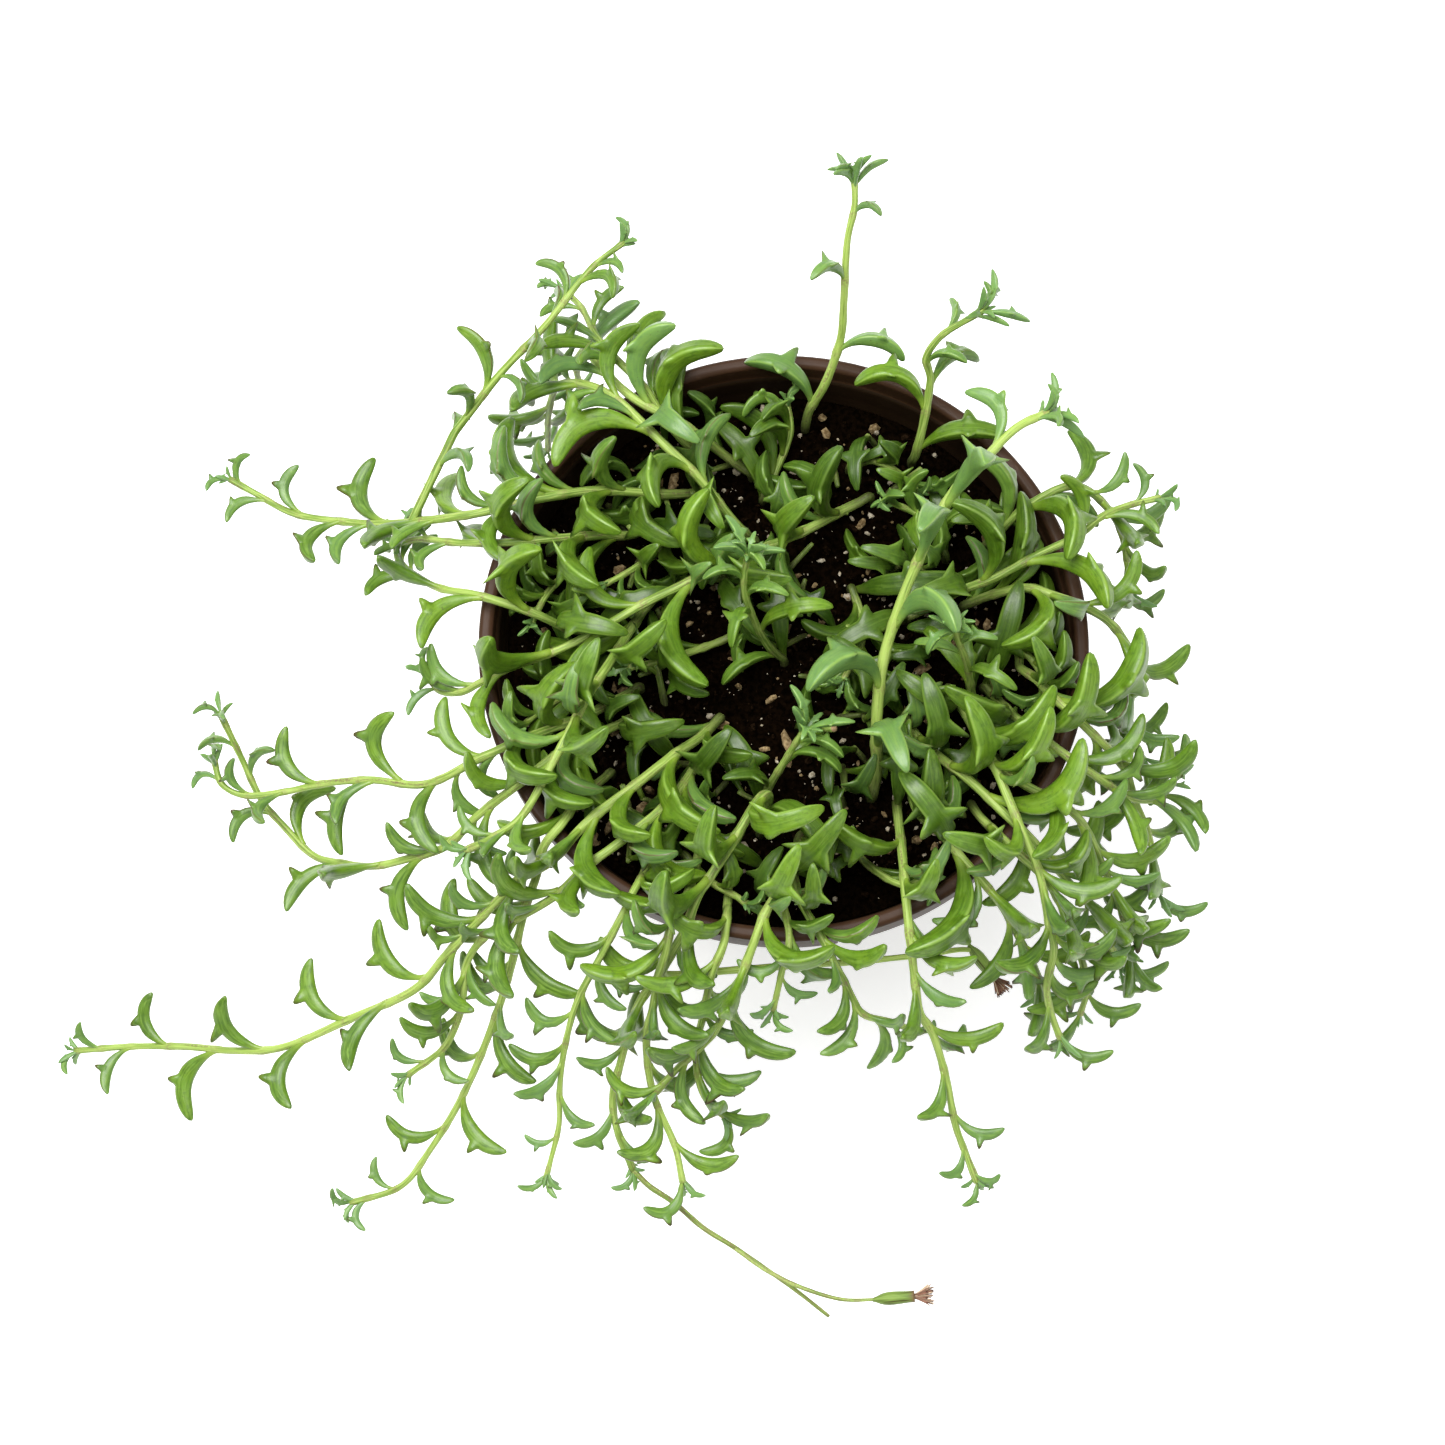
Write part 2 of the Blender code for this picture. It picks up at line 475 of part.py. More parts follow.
def grow_leaves(room, owner, line, radius, length, spacing, bare, least, seed):
    """Leaves set along a stem, larger low down and in the pot, crowded and small at the tip."""
    dice = random.Random(seed)
    corners = line[stations(line)]
    along = np.concatenate([[0.0], np.cumsum(np.linalg.norm(np.diff(line, axis=0), axis=1))])
    place = bare * dice.uniform(0.9, 1.1)
    side = dice.choice((-1, 1))
    leaves = []
    while place < along[-1] - 1.8:
        left = along[-1] - place
        ramp = min(1.0, least + (1.0 - least) * left / 42.0)
        spot = frame_on(line, along, place)
        spot = (nearest_on(corners, spot[0]), *spot[1:])
        sunk = 0.3 * radius * (1.0 - 0.35 * (place / along[-1]) ** 1.5)
        inside = math.hypot(spot[0][0], spot[0][1]) < RIM_RADIUS - 6
        size = SIZE * length * ramp * dice.uniform(0.92, 1.08) * (SIZE_IN_POT if inside else 1.0)
        roll = math.radians(side * dice.uniform(40, 102))
        made = try_leaf(room, owner, spot, sunk, roll, size, dice)
        if made is not None:
            leaf, balls, sizes = made
            room.take(balls, sizes, owner, 1)
            leaves.append(leaf)
            side = -side
            crowd = min(1.0, least + (1.0 - least) * left / 36.0)
            place += SPARSE * spacing * crowd * dice.uniform(0.88, 1.12)
        else:
            place += 0.4 * spacing
    spot = frame_on(line, along, along[-1] - 0.7)
    spot = (nearest_on(corners, spot[0]), *spot[1:])
    made = try_leaf(room, owner, spot, 0.0, math.radians(side * 60), 22.5 * least, dice, 14)
    if made is not None:
        room.take(made[1], made[2], owner, 1)
        leaves.append(made[0])
    return leaves


def with_root(line):
    """The buried straight end is added below the line's first point."""
    below = line[0].copy()
    below[2] = SOIL_TOP - ROOT_DEPTH
    return np.vstack([below, line])


def route_lines():
    """Smooth lines for each stem, shoot and stalk, with their owners and radii."""
    names = sorted(STEMS)
    roots = spread_roots([placed(STEMS[name][4][0]) for name in names])
    lines = []
    sizes = []
    owners = []
    for index, name in enumerate(names):
        points = np.array([placed(point) for point in STEMS[name][4]])
        points[0] = roots[index]
        points[0, 2] = ROOT_EXIT
        lines.append(smooth(points, 3.0))
        sizes.append(STEMS[name][0])
        owners.append(index)
    for name, entry in SHOOTS.items():
        points = np.array([placed(point) for point in entry[4]])
        lines.append(smooth(points, 3.0))
        sizes.append(entry[0])
        owners.append(names.index(name))
    for radius, route in STALKS:
        points = np.array([placed(point) for point in route])
        lines.append(smooth(points, 3.0))
        sizes.append(radius)
        owners.append(names.index(FLOWERING))
    return names, lines, sizes, owners


def join_shoot(line, parent):
    """The line's first points are drawn to the nearest place on its parent stem."""
    nearest = parent[np.linalg.norm(parent - line[0], axis=1).argmin()]
    shift = nearest - line[0]
    fade = np.clip(1.0 - np.arange(len(line)) / 6.0, 0.0, 1.0)[:, None]
    return line + shift * fade


def grow_plant():
    """Every stem's lines and leaves: {name: [(line, radius, leaves), ...]}."""
    names, lines, sizes, owners = route_lines()
    lines = ease_apart(lines, sizes, owners)
    for index in range(len(names), len(lines)):
        if index == len(names) + 2:
            parent = lines[index - 1]
        else:
            parent = lines[owners[index]]
        lines[index] = join_shoot(lines[index], parent)
    for index in range(len(names)):
        lines[index] = with_root(lines[index])
    room = Room()
    for line, size, owner in zip(lines, sizes, owners):
        for course in (line, line[stations(line)]):
            room.take(resampled(course, 1.6), size * 1.05 + 0.1, owner, 0)
    for head in HEADS:
        start, end = placed(head[0]), placed(head[1])
        end = start + unit(end - start) * (HEAD_LENGTH + TUFT_LENGTH)
        room.take(resampled(np.array((start, end)), 1.5), HEAD_RADIUS + 0.6, owners[-1], 0)
    plant = {name: [] for name in names}
    order = list(range(len(names), len(names) + len(SHOOTS))) + list(range(len(names)))
    for index in order:
        name = names[owners[index]]
        entry = SHOOTS[name] if index >= len(names) else STEMS[name]
        leaves = grow_leaves(room, owners[index], lines[index], sizes[index], *entry[1:4],
            0.72 if name in LARGE_TO_TIP else 0.4, 1000 + index)
        plant[name].append((lines[index], sizes[index], leaves))
    for index in range(len(names) + len(SHOOTS), len(lines)):
        plant[names[owners[index]]].append((lines[index], sizes[index], []))
    return plant


def paint(name, colour, roughness, metallic=0.0):
    material = bpy.data.materials.new(name)
    material.use_nodes = True
    shader = material.node_tree.nodes["Principled BSDF"]
    shader.inputs["Base Color"].default_value = (*colour, 1.0)
    shader.inputs["Roughness"].default_value = roughness
    shader.inputs["Metallic"].default_value = metallic
    material.diffuse_color = (*colour, 1.0)
    return material


def solid(name, points, faces, material, collection):
    """An object made from points in millimetres."""
    mesh = bpy.data.meshes.new(name)
    mesh.from_pydata([tuple(point * MM) for point in np.asarray(points, float)], [], faces)
    mesh.validate()
    mesh.materials.append(material)
    made = bpy.data.objects.new(name, mesh)
    collection.objects.link(made)
    return made


def tube(line, radii, sides):
    """Points and faces of a round stem with flat ends."""
    points = []
    faces = []
    count = len(line)
    across = None
    for index in range(count):
        before = unit(line[index] - line[max(0, index - 1)])
        after = unit(line[min(count - 1, index + 1)] - line[index])
        forward = unit(before + after)
        if across is None:
            across = np.cross(forward, (0.3, 0.9, 0.2))
        across = unit(across - forward * (across @ forward))
        over = np.cross(forward, across)
        for turn in range(sides):
            angle = 2 * math.pi * turn / sides
            points.append(line[index] + radii[index] * (math.cos(angle) * across
                + math.sin(angle) * over))
    for index in range(count - 1):
        for turn in range(sides):
            there = (turn + 1) % sides
            low = index * sides
            high = low + sides
            faces.append((low + turn, low + there, high + there, high + turn))
    faces.append(tuple(range(sides - 1, -1, -1)))
    faces.append(tuple((count - 1) * sides + turn for turn in range(sides)))
    return points, faces


def leaf_body(leaf):
    """Points and faces of a leaf: a pointed root, three sides, two fins and a pointed tip."""
    length = leaf[3]
    finned = length > 12.5
    if length > 26:
        shares = (0.27, 0.5, 0.67)
    elif finned:
        shares = (0.49, 0.67)
    else:
        shares = (0.42, 0.7) if length > 8 else (0.5,)
    centre, way, inner, side = leaf_axis(leaf, shares)
    width = leaf_width(length, shares)
    points = []
    for index, half in enumerate(width * 1.05):
        points.append(centre[index] + inner[index] * 1.05 * half)
        for turn in (-1, 1):
            points.append(centre[index] - inner[index] * 0.85 * half
                + side[index] * turn * 0.85 * half)
    last = 3 * (len(shares) - 1)
    root = len(points)
    points += [leaf_axis(leaf, (share,))[0][0] for share in (0.0, 1.0)]
    faces = []
    for turn in range(3):
        there = (turn + 1) % 3
        faces.append((root, there, turn))
        faces.append((last + turn, last + there, root + 1))
    for low in range(0, last, 3):
        high = low + 3
        if high < last or not finned:
            for turn in range(3):
                there = (turn + 1) % 3
                faces.append((low + turn, low + there, high + there, high + turn))
            continue
        points += fin_tips(leaf)
        one, two = root + 2, root + 3
        faces += [(low, low + 1, one), (low, one, high), (high, one, high + 1)]
        faces += [(low + 1, low + 2, two), (low + 1, two, one), (one, two, high + 2),
            (one, high + 2, high + 1)]
        faces += [(low + 2, low, two), (two, low, high), (two, high, high + 2)]
    return points, faces


def outward_faces(made):
    """Turns a closed mesh's faces outward and cuts them into triangles."""
    mesh = made.data
    mesh.calc_loop_triangles()
    points = np.array([vertex.co for vertex in mesh.vertices])
    corners = np.array([tuple(part.vertices) for part in mesh.loop_triangles])
    if np.linalg.det(points[corners]).sum() < 0:
        mesh.flip_normals()


def collapse_short(body, least):
    """Collapses each edge shorter than the least that can go without tearing the skin."""
    for _ in range(4):
        short = [edge for edge in body.edges if edge.calc_length() < least]
        for edge in sorted(short, key=lambda part: part.calc_length()):
            if not edge.is_valid:
                continue
            one, two = edge.verts
            around = {other.other_vert(one) for other in one.link_edges}
            shared = around & {other.other_vert(two) for other in two.link_edges}
            if len(shared) == 2 and len(edge.link_faces) == 2:
                bmesh.ops.collapse(body, edges=[edge])


def closed_skin(mesh, quads, polygons, least):
    """The mesh as triangles, with its sealed hollows and loose scraps dropped."""
    body = bmesh.new()
    body.from_mesh(mesh)
    bmesh.ops.triangulate(body, faces=body.faces, quad_method=quads, ngon_method=polygons)
    collapse_short(body, least * MM)
    left = set(body.faces)
    skins = []
    while left:
        reached = [left.pop()]
        for face in reached:
            for edge in face.edges:
                for other in edge.link_faces:
                    if other in left:
                        left.discard(other)
                        reached.append(other)
        skins.append(reached)
    largest = max(skins, key=len)
    scraps = [face for skin in skins if skin is not largest for face in skin]
    bmesh.ops.delete(body, geom=scraps, context="FACES")
    return body


def is_closed(body):
    """Whether each edge has two faces, also once points within a micron are one."""
    places = {}
    for vertex in body.verts:
        key = tuple(round(value / MM, 3) for value in vertex.co)
        places.setdefault(key, vertex)
    return len(places) == len(body.verts) and all(
        len(edge.link_faces) == 2 for edge in body.edges)


CUTS = (("BEAUTY", "BEAUTY"), ("SHORT_EDGE", "EAR_CLIP"), ("FIXED", "EAR_CLIP"),
    ("ALTERNATE", "BEAUTY"))


def joined_body(base, modifier):
    """The base with the others fused in, by the first way that leaves one closed skin."""
    ways = [(least, cuts) for least in (0.03, 0.01, 0.004) for cuts in CUTS]
    for solver in ("MANIFOLD", "EXACT"):
        modifier.solver = solver
        graph = bpy.context.evaluated_depsgraph_get()
        mesh = bpy.data.meshes.new_from_object(base.evaluated_get(graph))
        for least, cuts in ways:
            body = closed_skin(mesh, *cuts, least)
            if is_closed(body):
                break
        if is_closed(body):
            break
    body.to_mesh(mesh)
    return mesh


def fuse(base, others):
    """Joins the collection's objects into the base as one closed body."""
    modifier = base.modifiers.new("joined", "BOOLEAN")
    modifier.operation = "UNION"
    modifier.operand_type = "COLLECTION"
    modifier.collection = others
    joined = joined_body(base, modifier)
    base.modifiers.remove(modifier)
    base.data = joined
    for other in list(others.objects):
        bpy.data.objects.remove(other)
    bpy.data.collections.remove(others)


def tapered(radius, count):
    """Radii along a stem, thick at the root and thinner at the tip."""
    return [radius * (1.0 - 0.35 * (index / (count - 1)) ** 1.5) for index in range(count)]


def leafy_stem(name, parts, material, collection):
    """One stem with its shoots, stalks and leaves, fused into one body."""
    pieces = []
    for line, radius, leaves in parts:
        keep = stations(line)
        whole = tapered(radius, len(line))
        pieces.append(tube(line[keep], [whole[index] for index in keep], STEM_SIDES))
        pieces += [leaf_body(leaf) for leaf in leaves]
    if name.endswith(FLOWERING):
        pieces += [head_body(head) for head in HEADS]
    base = solid(name, *pieces[0], material, collection)
    outward_faces(base)
    others = bpy.data.collections.new(name + " leaves")
    bpy.context.scene.collection.children.link(others)
    for index, piece in enumerate(pieces[1:]):
        outward_faces(solid(f"{name} leaf {index}", *piece, material, others))
    fuse(base, others)
    return base


def head_frame(head):
    start, end = placed(head[0]), placed(head[1])
    return start, unit(end - start)


def head_body(head):
    """The green cup of a spent flower, open at its far end."""
    start, way = head_frame(head)
    places = (-1.5, 0.8, 3.0, HEAD_LENGTH - 1.0, HEAD_LENGTH)
    radii = (0.5, 1.3, HEAD_RADIUS, 1.35, 1.45)
    line = np.array([start + way * place for place in places])
    points, faces = tube(line, radii, 8)
    return hollow_end(points, faces, line[-1], way)


def hollow_end(points, faces, end, way):
    """Replaces the far cap of a tube with a small plain socket."""
    sides = 8
    last = len(points) - sides
    faces = faces[:-1]
    for depth in (0.0, -2.4):
        for turn in range(sides):
            rim = points[last + turn] - end
            points.append(end + unit(rim) * 0.95 + way * depth)
    for turn in range(sides):
        there = (turn + 1) % sides
        for low, high in ((last, last + sides), (last + sides, last + 2 * sides)):
            faces.append((low + turn, low + there, high + there, high + turn))
    faces.append(tuple(last + 2 * sides + turn for turn in range(sides)))
    return points, faces


def tuft(name, head, material, collection):
    """The dry bristles that stand in a spent flower's cup."""
    start, way = head_frame(head)
    end = start + way * (HEAD_LENGTH - 2.1)
    line = np.array([end, end + way * 2.1, end + way * 3.4])
    base = solid(name, *tube(line, (0.62, 0.62, 0.7), 6), material, collection)
    outward_faces(base)
    others = bpy.data.collections.new(name + " bristles")
    bpy.context.scene.collection.children.link(others)
    dice = random.Random(7)
    across = unit(np.cross(way, (0.1, 0.2, 1.0)))
    over = np.cross(way, across)
    for index in range(6):
        angle = 2 * math.pi * index / 5 + dice.uniform(-0.2, 0.2)
        spread = 0.0 if index == 5 else 1.0
        aside = math.cos(angle) * across + math.sin(angle) * over
        root = end + way * 2.5 + aside * 0.3 * spread
        tip = end + way * (2.1 + TUFT_LENGTH * dice.uniform(0.85, 1.0)) + aside * 1.5 * spread
        piece = tube(np.array((root, tip)), (0.4, 0.36), 3)
        outward_faces(solid(f"{name} bristle {index}", *piece, material, others))
    fuse(base, others)
    return base


def turned(name, profile, material, collection):
    """A body turned round the upright axis from a profile of radii and heights."""
    mesh = bpy.data.meshes.new(name)
    mesh.from_pydata([(r * MM, 0.0, z * MM) for r, z in profile],
        [(index, index + 1) for index in range(len(profile) - 1)], [])
    mesh.materials.append(material)
    made = bpy.data.objects.new(name, mesh)
    collection.objects.link(made)
    screw = made.modifiers.new("turned", "SCREW")
    screw.steps = POT_STEPS
    screw.render_steps = POT_STEPS
    screw.use_merge_vertices = True
    screw.merge_threshold = 0.00005
    screw.use_smooth_shade = False
    return made


def cutter(name, line, radius, sides, collection):
    points, faces = tube(np.array(line), (radius, radius), sides)
    made = solid(name, points, faces, bpy.data.materials[0], collection)
    made.display_type = "WIRE"
    outward_faces(made)
    return made


def cut(base, collection):
    modifier = base.modifiers.new("holes", "BOOLEAN")
    modifier.operation = "DIFFERENCE"
    modifier.operand_type = "COLLECTION"
    modifier.collection = collection
    modifier.solver = "EXACT"


def holes_collection(name):
    made = bpy.data.collections.new(name)
    bpy.context.scene.collection.children.link(made)
    made.hide_render = True
    return made


def wall_inside(height):
    """Inner radius of the pot's wall at a height."""
    share = (height - FLOOR) / (RIM_TOP - LIP_DROP - FLOOR)
    return (BASE_RADIUS - 2.6) + share * (RIM_RADIUS - 5.6 - (BASE_RADIUS - 2.6))


def pot(material, collection):
    """Thin tapered wall, deep lip, flat base with drain holes."""
    under = RIM_TOP - LIP_DROP
    profile = (
        (RIM_RADIUS - RIM_WIDTH + 0.6, RIM_TOP), (RIM_RADIUS - 0.8, RIM_TOP),
        (RIM_RADIUS, RIM_TOP - 0.8), (RIM_RADIUS - 0.6, under + 0.5),
        (RIM_RADIUS - 1.2, under), (RIM_RADIUS - 3.4, under),
        (BASE_RADIUS, 1.4), (BASE_RADIUS - 1.4, 0.0), (0.0, 0.0),
    )
    inner = (
        (0.0, FLOOR), (wall_inside(FLOOR) - 1.2, FLOOR), (wall_inside(FLOOR + 1.4), FLOOR + 1.4),
        (wall_inside(under), under), (RIM_RADIUS - RIM_WIDTH, RIM_TOP - 0.8),
        (RIM_RADIUS - RIM_WIDTH + 0.6, RIM_TOP),
    )
    made = turned("pot", profile + inner, material, collection)
    holes = holes_collection("Pot cutters")
    for index in range(DRAIN_HOLES):
        angle = 2 * math.pi * (index + 0.25) / DRAIN_HOLES
        x, y = DRAIN_CIRCLE * math.cos(angle), DRAIN_CIRCLE * math.sin(angle)
        cutter(f"drain cutter {index}", ((x, y, -2.0), (x, y, FLOOR + 2.0)), DRAIN_RADIUS, 10,
            holes)
    for index, degrees in enumerate(NOTCHES):
        angle = math.radians(degrees)
        way = np.array((math.cos(angle), math.sin(angle), 0.0))
        across = np.array((-way[1], way[0], 0.0))
        low = way * (RIM_RADIUS - 1.7) + (0.0, 0.0, under - 2.0)
        corners = [low + way * 6 * out + across * NOTCH_WIDTH * (side - 0.5)
            + np.array((0.0, 0.0, (NOTCH_HEIGHT + 2.0) * up))
            for up in (0, 1) for out in (0, 1) for side in (0, 1)]
        faces = [(0, 1, 3, 2), (4, 6, 7, 5), (0, 4, 5, 1), (2, 3, 7, 6), (0, 2, 6, 4),
            (1, 5, 7, 3)]
        notch = solid(f"notch cutter {index}", corners, faces, material, holes)
        notch.display_type = "WIRE"
        outward_faces(notch)
    cut(made, holes)
    return made


def soil(plant, material, collection):
    """Fills the pot to a little below the rim, with a plain hole for each root."""
    low = FLOOR + GAP
    profile = (
        (0.0, SOIL_TOP), (wall_inside(SOIL_TOP) - 1.4, SOIL_TOP),
        (wall_inside(SOIL_TOP - 0.8) - GAP, SOIL_TOP - 0.8),
        (wall_inside(low + 1.5) - GAP, low + 1.5), (wall_inside(low) - 1.8, low), (0.0, low),
    )
    made = turned("soil", profile, material, collection)
    holes = holes_collection("Soil cutters")
    for name, parts in plant.items():
        line, radius, leaves = root_part(parts)
        x, y = line[0][:2]
        cutter(f"root cutter {name}", ((x, y, SOIL_TOP - ROOT_DEPTH - GAP), (x, y, SOIL_TOP + 2)),
            (radius + GAP) / math.cos(math.pi / 5), 5, holes)
    cut(made, holes)
    return made


def root_part(parts):
    """The part of a stem that reaches down into the soil."""
    return min(parts, key=lambda part: abs(part[0][0][2] - (SOIL_TOP - ROOT_DEPTH)))


def clear_scene():
    for made in list(bpy.data.objects):
        bpy.data.objects.remove(made)


def main():
    clear_scene()
    collection = bpy.data.collections.new(NAME)
    bpy.context.scene.collection.children.link(collection)
    plastic = paint("pot plastic", (0.075, 0.045, 0.03), 0.42)
    ground = paint("soil", (0.022, 0.015, 0.01), 0.95)
    green = paint("leaf green", (0.16, 0.32, 0.06), 0.4)
    dry = paint("dry flower", (0.36, 0.2, 0.14), 0.8)
    plant = grow_plant()
    pot(plastic, collection)
    soil(plant, ground, collection)
    for name, parts in plant.items():
        leafy_stem("leafy_stem_" + name, parts, green, collection)
    for index, head in enumerate(HEADS):
        tuft(f"dry_flower_tuft_{index + 1}", head, dry, collection)


main()
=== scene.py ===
"""A string of dolphins in a round brown pot: its looks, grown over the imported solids."""

import math
import random

import bmesh
import bpy
import numpy as np
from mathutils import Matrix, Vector


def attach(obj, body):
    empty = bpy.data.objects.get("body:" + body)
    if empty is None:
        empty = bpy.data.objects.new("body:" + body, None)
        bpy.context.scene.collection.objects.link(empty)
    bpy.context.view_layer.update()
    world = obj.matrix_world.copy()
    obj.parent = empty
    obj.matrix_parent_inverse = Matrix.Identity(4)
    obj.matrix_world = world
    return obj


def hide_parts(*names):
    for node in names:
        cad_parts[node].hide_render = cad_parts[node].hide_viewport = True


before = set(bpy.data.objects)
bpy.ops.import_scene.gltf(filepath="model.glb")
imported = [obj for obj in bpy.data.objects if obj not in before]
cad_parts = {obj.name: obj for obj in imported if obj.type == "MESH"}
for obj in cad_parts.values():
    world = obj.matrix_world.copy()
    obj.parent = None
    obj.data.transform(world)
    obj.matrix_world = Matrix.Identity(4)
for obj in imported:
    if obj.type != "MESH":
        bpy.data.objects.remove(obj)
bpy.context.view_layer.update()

# Everything is in millimetres until a mesh is made
MM = 0.001

# Pot: FLOOR is the thickness of its base, and NOTCHES are the directions of its lip notches
RIM_TOP = 108.0
RIM_RADIUS = 77.0
RIM_WIDTH = 4.0
LIP_DROP = 12.0
BASE_RADIUS = 53.0
FLOOR = 2.6
DRAIN_HOLES = 5
DRAIN_RADIUS = 4.5
DRAIN_CIRCLE = 34.0
NOTCHES = (-77.0, 43.0, 163.0)
NOTCH_WIDTH = 8.0
NOTCH_HEIGHT = 5.0

# Soil, its gap to the pot, where the stems stand in it, and the rounds that move them apart
SOIL_TOP = 93.0
GAP = 0.3
ROOT_DEPTH = 10.0
ROOT_EXIT = 95.6
ROOT_SPACING = 6.6
ROOT_LIMIT = 62.0
ROOT_ROUNDS = 80

# The camera's place, along whose lines of sight the stem routes are laid out, and the middle of
# the plane that they are laid out on, as an offset
EYE = np.array((-15.4, -241.3, 929.0))
START = np.array((0.0, -3.1, 0.0))

# Leaves: widths and fins as shares of a leaf's length, then what lengths and spacings are
# multiplied by
WIDTH_SHARE = 0.19
FIN_AT = 0.58
FIN_SHARE = 0.14
FIN_DROP = 0.35
SIZE = 1.18
SIZE_IN_POT = 1.26
SPARSE = 1.22

# Ways to set a leaf, tried in this order: sizes, bends, and turns round the stem in degrees
LEAF_SIZES = (1.0, 0.86, 0.72)
LEAF_BENDS = (1.0, 0.75, 1.2)
LEAF_TURNS = (0, 13, -13, 27, -27, 42, -42, 60, -60, 80, -80, 105, -105, 135, -135, 165)

# Leaves near a stem's tip: the lengths over which they shrink and crowd together, the share
# that they shrink to, on most stems and on those with large leaves, and the last leaf's length
SHRINK_OVER = 42.0
CROWD_OVER = 36.0
TIP_SHARE = 0.4
LARGE_TIP_SHARE = 0.72
TIP_LEAF = 22.5
LEAF_SEED = 1000

# Patches of bare soil that leaves keep open along the line of sight: place and radius
BARE = np.array((
    (-3, -11, 7.9), (9, 26, 7.7), (4, -34, 6.9), (18, -62, 6.4), (-21, 9, 6.1), (15, 63, 5.9),
    (7, 57, 5.9), (23, -41, 5.9), (-67, 6, 5.4), (23, 64, 4.8), (-12, -12, 4.8), (-1, -21, 4.8),
    (-6, -47, 4.8), (-33, -7, 4.8), (-43, -30, 4.8), (25, 35, 4.6), (-18, -1, 4.6), (18, -20, 4.6),
    (25, -61, 4.6), (-10, 43, 4.6), (-39, 55, 4.6), (7, 69, 4.3), (16, 21, 4.3), (-13, -37, 4.3),
    (-27, 48, 4.3), (51, 13, 4.3), (-17, -64, 4.3), (-39, -54, 4.1), (-44, 26, 4.1), (45, 28, 4.1),
    (60, -3, 4.1), (41, 54, 4.1), (51, -32, 4.1), (-22, -14, 3.8), (-2, -27, 3.8), (6, -1, 3.8),
    (53, 46, 3.8), (45, -43, 3.8), (33, -49, 3.8), (33, 62, 3.6), (20, 40, 3.6), (-14, 49, 3.6),
    (-6, 37, 3.6), (-35, -36, 3.6), (-44, -45, 3.6), (-10, -59, 3.6), (43, -20, 3.6), (24, 14, 3.3),
    (15, 48, 3.3), (-63, -11, 3.3), (-58, 38, 3.3), (40, -2, 3.3), (24, 47, 3.1),
))

# Least room round a leaf, how far a stem's straight runs may stray from its curve, and the
# largest share of a leaf that may hide bare soil
CLEAR = 0.4
SLACK = 0.55
MOST_HIDING = 0.08

# Room is looked through within this reach of a leaf's foot, and counts as this where none is taken
ROOM_REACH = 46.0
ROOM_FREE = 9.0

# Steps between the points of a route, and between the balls that take a stem's room
ROUTE_STEP = 3.0
BALL_STEP = 1.6

# Easing stems apart: rounds, rounds between two looks for near points, how near those are, the
# room wanted between stems, the share of each push that is taken, and what of it goes sideways
EASE_ROUNDS = 90
LOOK_EVERY = 15
NEAR = 13.0
STEM_ROOM = 1.5
PUSH_SHARE = 0.4
SIDEWAYS = 0.45

